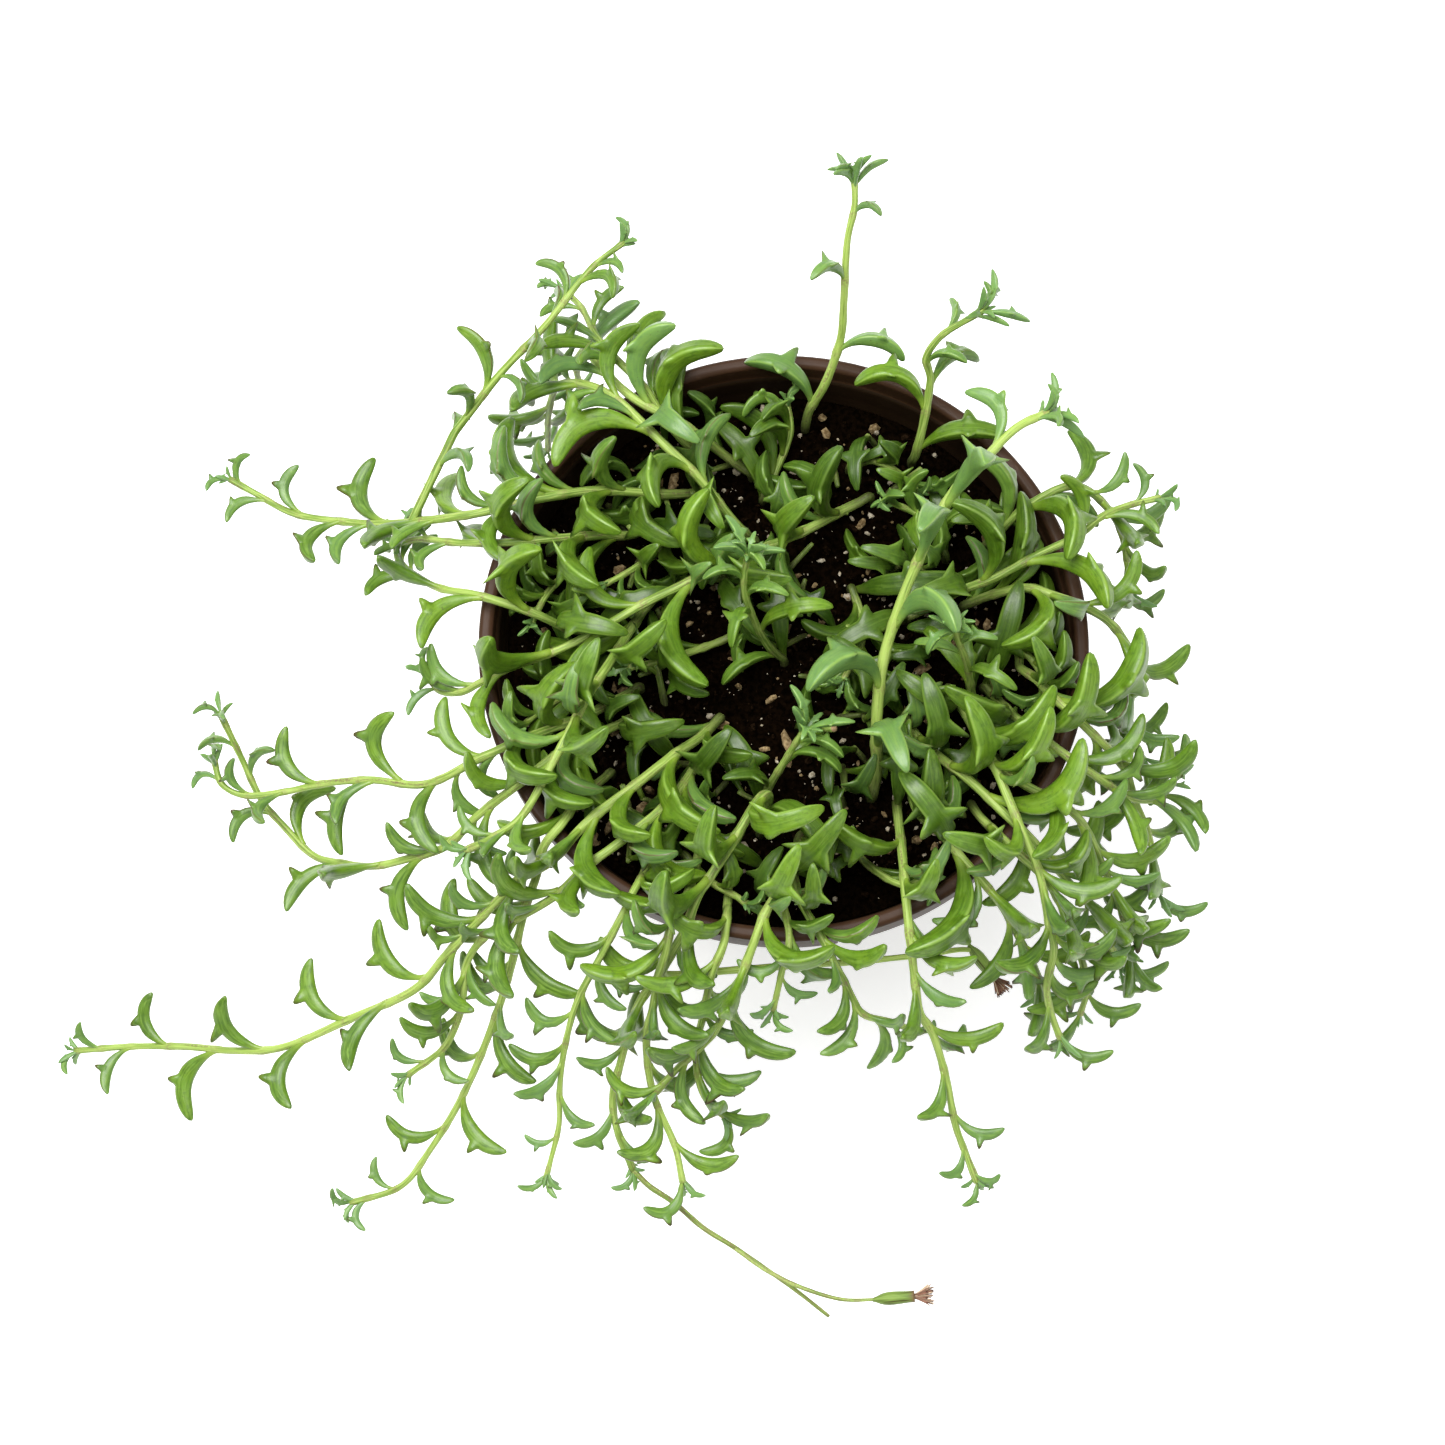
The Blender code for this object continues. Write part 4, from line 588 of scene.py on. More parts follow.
def simplified(points, slack):
    """Indices of the points that keep the line within the slack."""
    keep = [0, len(points) - 1]
    stack = [(0, len(points) - 1)]
    while stack:
        first, last = stack.pop()
        if last - first < 2:
            continue
        line = points[last] - points[first]
        line /= np.linalg.norm(line) + 1e-9
        offset = points[first + 1 : last] - points[first]
        away = np.linalg.norm(offset - np.outer(offset @ line, line), axis=1)
        worst = int(away.argmax())
        if away[worst] > slack:
            middle = first + 1 + worst
            keep.append(middle)
            stack += [(first, middle), (middle, last)]
    return sorted(keep)


def stations(line):
    """Indices of the points where a stem's straight runs meet. Its first run is kept."""
    return [0] + [index + 1 for index in simplified(line[1:], SLACK)]


def unit(vector):
    """The same direction with a length of one."""
    return vector / (np.linalg.norm(vector) + 1e-12)


def nearest_on(corners, point):
    """The nearest place on a line of straight runs."""
    start = corners[:-1]
    run = corners[1:] - start
    share = np.clip(((point - start) * run).sum(axis=1) / (run * run).sum(axis=1), 0.0, 1.0)
    places = start + run * share[:, None]
    return places[np.linalg.norm(places - point, axis=1).argmin()]


def frame_on(line, along, place):
    """Point, forward and upward directions of a stem at a length along it."""
    index = int(np.clip(np.searchsorted(along, place) - 1, 0, len(line) - 2))
    share = (place - along[index]) / (along[index + 1] - along[index] + 1e-9)
    point = line[index] + (line[index + 1] - line[index]) * share
    low = max(0, index - 1)
    high = min(len(line) - 1, index + 2)
    forward = unit(line[high] - line[low])
    reach = max(20.0, reach_of(point))
    outside = 0.7 if reach > RIM_RADIUS else 0.15
    up = np.array((outside * point[0] / reach, outside * point[1] / reach, 1.0))
    if abs(forward[2]) > 0.85 and forward[2] > 0:
        up = np.array((0.2, -1.0, 0.2))
    up = unit(up - forward * (up @ forward))
    return point, forward, up


def leaf_frame(leaf, shares, angle, ahead, aside):
    """Centre, forward, inner and sideways directions of a leaf whose course is given."""
    root, forward, outward = leaf[:3]
    centre = root + np.outer(ahead, forward) + np.outer(aside, outward)
    way = np.outer(np.cos(angle), forward) + np.outer(np.sin(angle), outward)
    inner = np.outer(-np.sin(angle), forward) + np.outer(np.cos(angle), outward)
    side = np.cross(way, inner)
    turn = (leaf[6] * shares)[:, None]
    return centre, way, inner * np.cos(turn) + side * np.sin(turn), (
        side * np.cos(turn) - inner * np.sin(turn))


def leaf_axis(leaf, shares):
    """The directions of a leaf that bends evenly, at shares of its length."""
    length, lean, bend = leaf[3:6]
    shares = np.asarray(shares, float)
    angle = lean + bend * shares
    ahead = length / bend * (np.sin(angle) - math.sin(lean))
    aside = length / bend * (math.cos(lean) - np.cos(angle))
    return leaf_frame(leaf, shares, angle, ahead, aside)


def leaf_width(length, shares):
    """Half the width of a leaf at shares of its length."""
    known = (0.0, 0.12, 0.25, 0.42, 0.6, 0.75, 0.88, 0.96, 1.0)
    value = (0.22, 0.33, 0.54, 0.87, 1.0, 0.88, 0.62, 0.34, 0.12)
    return 0.5 * WIDTH_SHARE * length * np.interp(shares, known, value)


def fin_tips(leaf, reach=1.0):
    """The ends of the two fins, which stand out sideways and away from the hollow side."""
    at, way, inner, side = (part[0] for part in leaf_axis(leaf, (FIN_AT,)))
    half = leaf_width(leaf[3], FIN_AT)
    fin = FIN_SHARE * leaf[3] * reach
    return [at + side * turn * (0.85 * half + fin) - inner * (0.55 * half + FIN_DROP * fin)
        - way * 0.2 * fin for turn in (-1, 1)]


def leaf_chain(leaf):
    """Balls that cover a leaf and its two fins."""
    length = leaf[3]
    fin = FIN_SHARE * length
    balls = [leaf_axis(leaf, CHAIN)[0]]
    sizes = [leaf_width(length, CHAIN) * 1.12]
    for share, ball in ((0.4, 0.36), (0.9, 0.2)):
        balls.append(np.array(fin_tips(leaf, share)))
        sizes.append(np.full(2, fin * ball))
    return np.vstack(balls), np.concatenate(sizes)


class Room:
    """The space already taken, as balls that each belong to a stem."""

    def __init__(self):
        self.points = np.zeros((0, 3))
        self.sizes = np.zeros(0)
        self.owners = np.zeros(0, int)

    def take(self, points, sizes, owner):
        """Adds balls that belong to one stem."""
        self.points = np.vstack([self.points, points])
        self.sizes = np.concatenate([self.sizes, np.broadcast_to(sizes, len(points))])
        self.owners = np.concatenate([self.owners, np.full(len(points), owner)])

    def worst(self, points, sizes, owner, root):
        """The least room left round the balls: between stems, and inside the same stem."""
        close = np.linalg.norm(self.points - root, axis=1) < ROOM_REACH
        taken = self.points[close]
        size = self.sizes[close]
        mine = self.owners[close] == owner
        gap = np.linalg.norm(points[:, None] - taken[None], axis=2)
        gap -= sizes[:, None] + size[None]
        others = gap[:, ~mine].min() if (~mine).any() else ROOM_FREE
        same = gap[2:, mine].min() if mine.any() else ROOM_FREE
        return others, same


def hiding(points):
    """The share of the points that hide a patch of bare soil."""
    share = (SOIL_TOP - EYE[2]) / (points[:, 2] - EYE[2])
    seen = (EYE + (points - EYE) * share[:, None])[:, :2]
    away = np.linalg.norm(seen[:, None] - BARE[None, :, :2], axis=2)
    return (away < BARE[:, 2] + 0.6).any(axis=1).mean()


def try_leaf(room, owner, spot, sunk, roll, length, dice, lean=None):
    """The first way to set a leaf that has room, or None."""
    point, forward, up = spot
    across = np.cross(forward, up)
    lean = math.radians(lean or dice.uniform(14, 30))
    bend = math.radians(dice.uniform(86, 128))
    twist = math.radians(dice.uniform(-22, 22))
    for size in LEAF_SIZES:
        best = None
        for bent in LEAF_BENDS:
            for turn in LEAF_TURNS:
                angle = roll + math.radians(turn)
                outward = math.cos(angle) * up + math.sin(angle) * across
                root = point + outward * sunk
                leaf = (root, forward, outward, length * size, lean, bend * bent, twist)
                balls, sizes = leaf_chain(leaf)
                if np.abs(pot_push(balls, sizes)).max() > 0.01 or hiding(balls) > MOST_HIDING:
                    continue
                others, same = room.worst(balls, sizes, owner, point)
                if others < CLEAR:
                    continue
                if same > 0.0:
                    return leaf, balls, sizes
                if best is None or same > best[0]:
                    best = (same, leaf, balls, sizes)
        if best is not None and best[0] > -1.0:
            return best[1:]
    return None


def taper(share):
    """How thick a stem is at a share of its length, as a share of its foot."""
    return 1.0 - 0.35 * share ** 1.5


def leaf_spot(line, along, corners, place):
    """Where a leaf stands on a stem's straight runs, with the stem's directions there."""
    point, forward, up = frame_on(line, along, place)
    return nearest_on(corners, point), forward, up


def grow_leaves(room, owner, line, radius, length, spacing, bare, least, seed):
    """Leaves set along a stem, larger low down and in the pot, crowded and small at the tip."""
    dice = random.Random(seed)
    corners = line[stations(line)]
    along = lengths_along(line)
    place = bare * dice.uniform(0.9, 1.1)
    side = dice.choice((-1, 1))
    leaves = []
    while place < along[-1] - 1.8:
        left = along[-1] - place
        shrunk = min(1.0, least + (1.0 - least) * left / SHRINK_OVER)
        spot = leaf_spot(line, along, corners, place)
        sunk = 0.3 * radius * taper(place / along[-1])
        larger = SIZE_IN_POT if reach_of(spot[0]) < RIM_RADIUS - 6 else 1.0
        size = SIZE * length * shrunk * dice.uniform(0.92, 1.08) * larger
        roll = math.radians(side * dice.uniform(40, 102))
        made = try_leaf(room, owner, spot, sunk, roll, size, dice)
        if made is not None:
            leaf, balls, sizes = made
            room.take(balls, sizes, owner)
            leaves.append(leaf)
            side = -side
            crowd = min(1.0, least + (1.0 - least) * left / CROWD_OVER)
            place += SPARSE * spacing * crowd * dice.uniform(0.88, 1.12)
        else:
            place += 0.4 * spacing
    spot = leaf_spot(line, along, corners, along[-1] - 0.7)
    made = try_leaf(room, owner, spot, 0.0, math.radians(side * 60), TIP_LEAF * least, dice, 14)
    if made is not None:
        room.take(made[1], made[2], owner)
        leaves.append(made[0])
    return leaves


def with_root(line):
    """The buried straight end is added below the line's first point."""
    below = line[0].copy()
    below[2] = SOIL_TOP - ROOT_DEPTH
    return np.vstack([below, line])


def route_lines():
    """Smooth lines for each stem, shoot and stalk, with their owners and radii."""
    names = sorted(STEMS)
    routes = [(STEMS[name][4], STEMS[name][0], name) for name in names]
    routes += [(entry[4], entry[0], name) for name, entry in SHOOTS.items()]
    routes += [(route, radius, FLOWERING) for radius, route in STALKS]
    courses = [np.array([placed(point) for point in route]) for route, _, _ in routes]
    roots = spread_roots([course[0] for course in courses[: len(names)]])
    for course, root in zip(courses, roots):
        course[0] = (root[0], root[1], ROOT_EXIT)
    lines = [smooth(course, ROUTE_STEP) for course in courses]
    sizes = [radius for _, radius, _ in routes]
    owners = [names.index(name) for _, _, name in routes]
    return names, lines, sizes, owners


def join_shoot(line, parent):
    """The line's first points are drawn to the nearest place on its parent stem."""
    nearest = parent[np.linalg.norm(parent - line[0], axis=1).argmin()]
    shift = nearest - line[0]
    fade = np.clip(1.0 - np.arange(len(line)) / 6.0, 0.0, 1.0)[:, None]
    return line + shift * fade


def head_frame(head):
    """Where a flower head starts, and its direction."""
    start, end = placed(head[0]), placed(head[1])
    return start, unit(end - start)


def grow_plant():
    """Every stem's lines and leaves: {name: [(line, radius, leaves), ...]}."""
    names, lines, sizes, owners = route_lines()
    lines = ease_apart(lines, sizes, owners)
    first_stalk = len(names) + len(SHOOTS)
    for index in range(len(names), len(lines)):
        parent = index - 1 if index == first_stalk + FORKED else owners[index]
        lines[index] = join_shoot(lines[index], lines[parent])
    for index in range(len(names)):
        lines[index] = with_root(lines[index])
    room = Room()
    for line, size, owner in zip(lines, sizes, owners):
        for course in (line, line[stations(line)]):
            room.take(resampled(course, BALL_STEP), size * 1.05 + 0.1, owner)
    for head in HEADS:
        start, way = head_frame(head)
        end = start + way * (HEAD_LENGTH + TUFT_LENGTH)
        room.take(resampled(np.array((start, end)), 1.5), HEAD_RADIUS + 0.6, owners[-1])
    plant = {name: [] for name in names}
    for index in (*range(len(names), first_stalk), *range(len(names))):
        name = names[owners[index]]
        entry = SHOOTS[name] if index >= len(names) else STEMS[name]
        least = LARGE_TIP_SHARE if name in LARGE_TO_TIP else TIP_SHARE
        leaves = grow_leaves(room, owners[index], lines[index], sizes[index], *entry[1:4],
            least, LEAF_SEED + index)
        plant[name].append((lines[index], sizes[index], leaves))
    for index in range(first_stalk, len(lines)):
        plant[names[owners[index]]].append((lines[index], sizes[index], []))
    return plant


class Value:
    """A number that a material works out at every point of a surface."""

    def __init__(self, paint, socket):
        self.paint = paint
        self.socket = socket

    def worked(self, operation, first, second):
        """The result of one sum, as a value of its own."""
        made = self.paint.node("ShaderNodeMath", {"operation": operation}, {0: first, 1: second})
        return Value(self.paint, made.outputs[0])

    def __add__(self, other):
        return self.worked("ADD", self, other)

    def __radd__(self, other):
        return self.worked("ADD", other, self)

    def __sub__(self, other):
        return self.worked("SUBTRACT", self, other)

    def __rsub__(self, other):
        return self.worked("SUBTRACT", other, self)

    def __mul__(self, other):
        return self.worked("MULTIPLY", self, other)

    def __rmul__(self, other):
        return self.worked("MULTIPLY", other, self)


class Paint:
    """One material, put together from nodes."""

    def __init__(self, name, settings):
        self.material = bpy.data.materials.new(name)
        self.material.use_nodes = True
        self.tree = self.material.node_tree
        self.shader = self.tree.nodes["Principled BSDF"]
        for socket, value in settings.items():
            self.shader.inputs[socket].default_value = value

    def node(self, kind, settings, sockets):
        """A node of a kind: its settings first, then the values or links of its sockets."""
        made = self.tree.nodes.new(kind)
        for name, value in settings.items():
            setattr(made, name, value)
        for key, value in sockets.items():
            self.feed(made.inputs[key], value)
        return made

    def feed(self, socket, value):
        """Sets a socket to a number or a colour, or links it to a value."""
        if isinstance(value, Value):
            value = value.socket
        if isinstance(value, bpy.types.NodeSocket):
            self.tree.links.new(value, socket)
        else:
            socket.default_value = value

    def mark(self, name):
        """A number kept with the mesh's points."""
        made = self.node("ShaderNodeAttribute", {"attribute_name": name}, {})
        return Value(self, made.outputs["Fac"])

    def grain(self):
        """The direction of growth, kept with the mesh's points."""
        return self.node("ShaderNodeAttribute", {"attribute_name": "grain"}, {}).outputs["Vector"]

    def place(self):
        """The place of a point in the piece, in metres."""
        return self.node("ShaderNodeTexCoord", {}, {}).outputs["Object"]

    def reach_and_height(self):
        """How far a point stands from the upright axis, and how high, in metres."""
        flat = self.node("ShaderNodeVectorMath", {"operation": "MULTIPLY"},
            {0: self.place(), 1: (1.0, 1.0, 0.0)})
        reach = self.node("ShaderNodeVectorMath", {"operation": "LENGTH"}, {0: flat.outputs[0]})
        axes = self.node("ShaderNodeSeparateXYZ", {}, {0: self.place()})
        return Value(self, reach.outputs["Value"]), Value(self, axes.outputs[2])

    def noise(self, where, scale, detail=2.0, roughness=0.5):
        """Soft random grains, about as many to a unit of length as the scale says."""
        made = self.node("ShaderNodeTexNoise", {},
            {"Vector": where, "Scale": scale, "Detail": detail, "Roughness": roughness})
        return Value(self, made.outputs["Fac"])

    def rise(self, value, low, high):
        """0 below the low value, 1 above the high one, and smooth in between."""
        made = self.node("ShaderNodeMapRange", {"interpolation_type": "SMOOTHSTEP"},
            {"Value": value, "From Min": low, "From Max": high})
        return Value(self, made.outputs["Result"])

    def mix(self, share, first, second):
        """From the first colour to the second as the share goes from 0 to 1."""
        colours = [(*part, 1.0) if isinstance(part, tuple) else part for part in (first, second)]
        made = self.node("ShaderNodeMix", {"data_type": "RGBA"},
            {0: share, 6: colours[0], 7: colours[1]})
        return made.outputs[2]

    def relief(self, height, depth, strength=1.0):
        """Bumps the surface by the height, up to a depth in millimetres."""
        made = self.node("ShaderNodeBump", {},
            {"Height": height, "Distance": depth * MM, "Strength": strength})
        self.feed(self.shader.inputs["Normal"], made.outputs["Normal"])

    def finish(self, colour, roughness):
        """The finished material."""
        self.feed(self.shader.inputs["Base Color"], colour)
        self.feed(self.shader.inputs["Roughness"], roughness)
        return self.material


def leaf_paint():
    """Waxy green flesh: pale at the foot, light edges in the pot, brown ones outside it, and
    painted shade on leaves low in the pot.
    """
    paint = Paint("waxy leaf", {"Coat Weight": 0.1, "Coat Roughness": 0.22,
        "Specular IOR Level": 0.4, "Subsurface Weight": 0.08,
        "Subsurface Radius": (0.4, 1.0, 0.1), "Subsurface Scale": 0.001})
    along, ridge, face = paint.mark("along"), paint.mark("ridge"), paint.mark("face")
    tone, youth, rim, painted_shade = (paint.mark(name) for name in ("tone", "youth", "rim", "painted_shade"))
    lines = paint.noise(paint.grain(), 1.0, 3.0)
    cloud = paint.noise(paint.place(), 210.0, 2.0)
    dents = paint.noise(paint.place(), 560.0, 3.0, 0.6)
    speck = paint.noise(paint.place(), 1500.0, 1.0)
    colour = paint.mix(tone, LEAF_DARK, LEAF_LIGHT)
    colour = paint.mix(paint.rise(cloud, 0.38, 0.62) * 0.55, colour, LEAF_CLOUD)
    colour = paint.mix(paint.rise(dents, 0.48, 0.7) * 0.5, colour, LEAF_DENT)
    bloom = paint.rise(paint.noise(paint.place(), 130.0, 2.0), 0.36, 0.62)
    colour = paint.mix(rim * (0.2 + bloom * 0.6), colour, LEAF_BLOOM)
    groove = 1.0 - paint.rise(lines, 0.32, 0.5)
    colour = paint.mix(groove * (0.4 + rim * 0.2), colour, LEAF_GROOVE)
    colour = paint.mix(youth * 0.7, colour, LEAF_YOUNG)
    # Painted shade: leaves low in the pot darken towards a near-black green
    colour = paint.mix(painted_shade * 0.9, colour, LEAF_SHADED)
    stripe = face * paint.rise(lines, 0.48, 0.66) * (0.3 + rim * 0.3)
    colour = paint.mix(stripe * (1.0 - painted_shade * 0.6), colour, LEAF_STRIPE)
    lit = 1.0 - painted_shade * 0.7
    foot = 1.0 - paint.rise(along, 0.0, 0.26)
    colour = paint.mix(foot * lit * 0.7, colour, LEAF_FOOT)
    edge = paint.rise(ridge, 0.45, 0.95)
    colour = paint.mix(edge * (1.0 - rim) * lit * 0.55, colour, LEAF_PALE_EDGE)
    colour = paint.mix(paint.rise(ridge, 0.56, 0.92) * rim * 0.9, colour, LEAF_BROWN_EDGE)
    colour = paint.mix(paint.rise(speck, 0.7, 0.76) * 0.5, colour, LEAF_SPECK)
    paint.relief(lines * 0.6 + dents * 0.9 + paint.noise(paint.place(), 2600.0) * 0.35, 0.1, 0.8)
    return paint.finish(colour, 0.3 + cloud * 0.2)


def stem_paint():
    """Pale green skin with light and purple-brown lines, brown where a leaf grows, and painted
    shade at its foot.
    """
    paint = Paint("stem skin", {"Specular IOR Level": 0.4, "Subsurface Weight": 0.1,
        "Subsurface Radius": (0.5, 1.0, 0.2), "Subsurface Scale": 0.001})
    tone, scar, rim = paint.mark("tone"), paint.mark("scar"), paint.mark("rim")
    lines = paint.noise(paint.grain(), 1.0, 3.0)
    streak = paint.noise(paint.grain(), 0.6, 4.0, 0.7)
    dots = paint.noise(paint.place(), 1700.0, 2.0)
    colour = paint.mix(tone, STEM_DARK, STEM_LIGHT)
    colour = paint.mix(paint.rise(lines, 0.44, 0.6) * 0.7, colour, STEM_STRIPE)
    colour = paint.mix((1.0 - paint.rise(lines, 0.3, 0.42)) * 0.6, colour, STEM_GROOVE)
    brown = paint.rise(streak, 0.52, 0.66) * paint.rise(dots, 0.4, 0.55)
    colour = paint.mix(brown * (0.15 + rim * 0.65), colour, STEM_BROWN)
    colour = paint.mix(scar * paint.rise(dots, 0.35, 0.6) * 0.75, colour, STEM_SCAR)
    # Painted shade at a stem's foot, near the soil
    colour = paint.mix(paint.mark("painted_shade") * (0.6 + dots * 0.5), colour, STEM_SHADED)
    paint.relief(lines + dots * 0.4, 0.12, 0.8)
    return paint.finish(colour, 0.45 + lines * 0.15)


def cup_paint():
    """The ribbed green cup of a flower, brown-purple towards its mouth."""
    paint = Paint("flower cup", {"Specular IOR Level": 0.35})
    along = paint.mark("along")
    lines = paint.noise(paint.grain(), 1.0, 3.0)
    colour = paint.mix(paint.rise(lines, 0.35, 0.65), CUP_DARK, CUP_LIGHT)
    colour = paint.mix((1.0 - paint.rise(lines, 0.38, 0.5)) * 0.75, colour, CUP_GROOVE)
    colour = paint.mix(paint.rise(along + lines * 0.3, 0.92, 1.22), colour, CUP_MOUTH)
    paint.relief(lines, 0.1)
    return paint.finish(colour, 0.5 + lines * 0.2)


def bristle_paint():
    """Dry brown bristles, darker at the foot and at the tip."""
    paint = Paint("dry bristle", {"Specular IOR Level": 0.3})
    along = paint.mark("along")
    cloud = paint.noise(paint.place(), 1200.0)
    tone = paint.mark("tone")
    colour = paint.mix(along, BRISTLE_FOOT, BRISTLE_BROWN)
    colour = paint.mix(tone, colour, BRISTLE_PALE)
    colour = paint.mix(cloud * 0.35, colour, BRISTLE_CLOUD)
    tip = paint.rise(along, 0.8, 0.95) * (1.0 - tone)
    colour = paint.mix(tip * 0.85, colour, BRISTLE_TIP)
    paint.relief(cloud, 0.05)
    return paint.finish(colour, 0.7 + cloud * 0.2)


def pot_paint():
    """Dark brown moulded plastic with a soft sheen and fine scuffs, and painted shade on the inner
    wall above the soil.
    """
    paint = Paint("brown plastic", {"Specular IOR Level": 0.16})
    cloud = paint.noise(paint.place(), 45.0, 3.0)
    scuff = paint.noise(paint.place(), 420.0, 4.0, 0.65)
    pores = paint.noise(paint.place(), 3000.0, 1.0)
    colour = paint.mix(cloud, POT_DARK, POT_LIGHT)
    colour = paint.mix(paint.rise(scuff, 0.58, 0.75) * 0.35, colour, POT_SCUFF)
    reach, height = paint.reach_and_height()
    # Painted shade on the inner wall, from about the soil up to the rim
    wall = (RIM_RADIUS - RIM_WIDTH - 0.5) * MM
    inside = 1.0 - paint.rise(reach, wall, wall + 0.4 * MM)
    upper = paint.rise(height, (SOIL_TOP - 5.0) * MM, (SOIL_TOP - 2.0) * MM)
    colour = paint.mix(inside * upper * 0.8, colour, POT_INSIDE_SHADE)
    paint.relief(pores * 0.4 + scuff * 0.6, 0.05, 0.6)
    return paint.finish(colour, 0.38 + scuff * 0.16)


def ground_paint(name, dark, light, grain, depth):
    """Soil, bark, perlite or a cut stem: two colours in grains of one size."""
    paint = Paint(name, {"Specular IOR Level": 0.0})
    tone = paint.mark("tone")
    grains = paint.noise(paint.place(), grain, 4.0, 0.65)
    fine = paint.noise(paint.place(), grain * 5.0, 2.0)
    colour = paint.mix(paint.rise(grains, 0.35, 0.7), dark, light)
    colour = paint.mix(tone * 0.5, colour, tuple(part * 0.45 for part in dark))
    paint.relief(grains + fine * 0.4, depth)
    return paint.finish(colour, 0.75 + fine * 0.2)


class Skin:
    """Points, faces and marks of one piece while it is put together."""

    MARKS = ("along", "ridge", "face", "tone", "youth", "rim", "scar", "painted_shade")

    def __init__(self):
        self.points = []
        self.faces = {3: [], 4: []}
        self.slots = {3: [], 4: []}
        self.marks = {name: [] for name in self.MARKS}
        self.grain = []
        self.count = 0

    def add(self, points, faces, slot, marks, grain=None):
        """Adds points in millimetres, and faces as arrays with three or four corners each."""
        points = np.asarray(points, float)
        self.points.append(points)
        for part in faces:
            part = np.asarray(part, int)
            self.faces[part.shape[1]].append(part + self.count)
            self.slots[part.shape[1]].append(np.full(len(part), slot))
        for name in self.MARKS:
            self.marks[name].append(np.broadcast_to(marks.get(name, 0.0), len(points)))
        self.grain.append(points if grain is None else grain)
        self.count += len(points)

    def piece(self, name, materials, smooth=True):
        """The piece as an object of the scene, on the CAD's one body."""
        mesh = bpy.data.meshes.new(name)
        points = np.vstack(self.points) * MM
        corners = [np.vstack(self.faces[sides]) for sides in (4, 3) if self.faces[sides]]
        sizes = np.concatenate([np.full(len(part), part.shape[1]) for part in corners])
        slots = np.concatenate([part for sides in (4, 3) for part in self.slots[sides]])
        mesh.vertices.add(len(points))
        mesh.vertices.foreach_set("co", points.ravel())
        mesh.loops.add(int(sizes.sum()))
        mesh.loops.foreach_set("vertex_index", np.concatenate([part.ravel() for part in corners]))
        mesh.polygons.add(len(sizes))
        mesh.polygons.foreach_set("loop_start", np.concatenate([[0], np.cumsum(sizes)[:-1]]))
        mesh.polygons.foreach_set("material_index", slots)
        mesh.polygons.foreach_set("use_smooth", np.full(len(sizes), smooth))
        for material in materials:
            mesh.materials.append(material)
        for mark, parts in self.marks.items():
            values = np.concatenate(parts)
            if values.any():
                layer = mesh.attributes.new(mark, "FLOAT", "POINT")
                layer.data.foreach_set("value", values)
        layer = mesh.attributes.new("grain", "FLOAT_VECTOR", "POINT")
        layer.data.foreach_set("vector", np.vstack(self.grain).ravel())
        mesh.update(calc_edges=True)
        made = in_scene(name, mesh)
        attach(made, "root")
        return made


def round_angles(count):
    """Even angles once round."""
    return np.linspace(0.0, 2 * math.pi, count, endpoint=False)


def with_ends(rows):
    """The rows with the first and the last once more, for the points that close both ends."""
    return np.vstack([rows, rows[[0, -1]]])


def ring_faces(rings, sides):
    """Faces between rings of points, and the fans that close both ends on a point each."""
    index = np.arange(rings * sides).reshape(rings, sides)
    there = np.roll(index, -1, axis=1)
    walls = np.stack([index[:-1], there[:-1], there[1:], index[1:]], axis=-1).reshape(-1, 4)
    foot, tip = rings * sides, rings * sides + 1
    low = np.stack([np.full(sides, foot), there[0], index[0]], axis=-1)
    high = np.stack([np.full(sides, tip), index[-1], there[-1]], axis=-1)
    return walls, np.vstack([low, high])


def line_frames(line):
    """The direction of a line at each point, and two directions across it that don't twist."""
    ways = np.gradient(line, axis=0)
    ways /= np.linalg.norm(ways, axis=1)[:, None]
    across = [unit(np.cross(ways[0], (0.3, 0.9, 0.2)))]
    for way in ways[1:]:
        across.append(unit(across[-1] - way * (across[-1] @ way)))
    across = np.array(across)
    return ways, across, np.cross(ways, across)


def tube_skin(skin, line, radii, sides, slot, marks, ribs=0.0, seed=0):
    """Adds a round tube along a line, closed at both ends."""
    ways, across, over = line_frames(line)
    angle = round_angles(sides)
    radii = np.asarray(radii, float)[:, None] * (1.0 + ribs * np.cos(angle * sides / 2)[None])
    ring = (across[:, None] * (np.cos(angle)[None, :, None] * radii[:, :, None])
        + over[:, None] * (np.sin(angle)[None, :, None] * radii[:, :, None]))
    points = (line[:, None] + ring).reshape(-1, 3)
    ends = [line[0] - ways[0] * radii[0, 0] * 0.4, line[-1] + ways[-1] * radii[-1, 0] * 0.4]
    fast, slow = STEM_GRAIN
    grain = np.stack([np.cos(angle)[None] * radii * fast, np.sin(angle)[None] * radii * fast,
        np.repeat(lengths_along(line)[:, None] * slow, sides, axis=1)], axis=-1).reshape(-1, 3)
    marks = {name: np.concatenate([np.repeat(np.broadcast_to(value, len(line)), sides),
        np.broadcast_to(value, len(line))[[0, -1]]]) for name, value in marks.items()}
    skin.add(np.vstack([points, ends]), ring_faces(len(line), sides), slot, marks,
        with_ends(grain + seed * 7.3))


def leaf_profile(shares):
    """How wide a leaf is along its length, as a share of its widest, with no corners."""
    steps = np.linspace(-0.1, 1.1, 241)
    known, widths = np.array(PROFILE).T
    window = np.hanning(17)
    widths = np.convolve(np.interp(steps, known, widths), window / window.sum(), "valid")
    return np.interp(shares, steps[8:-8], widths)


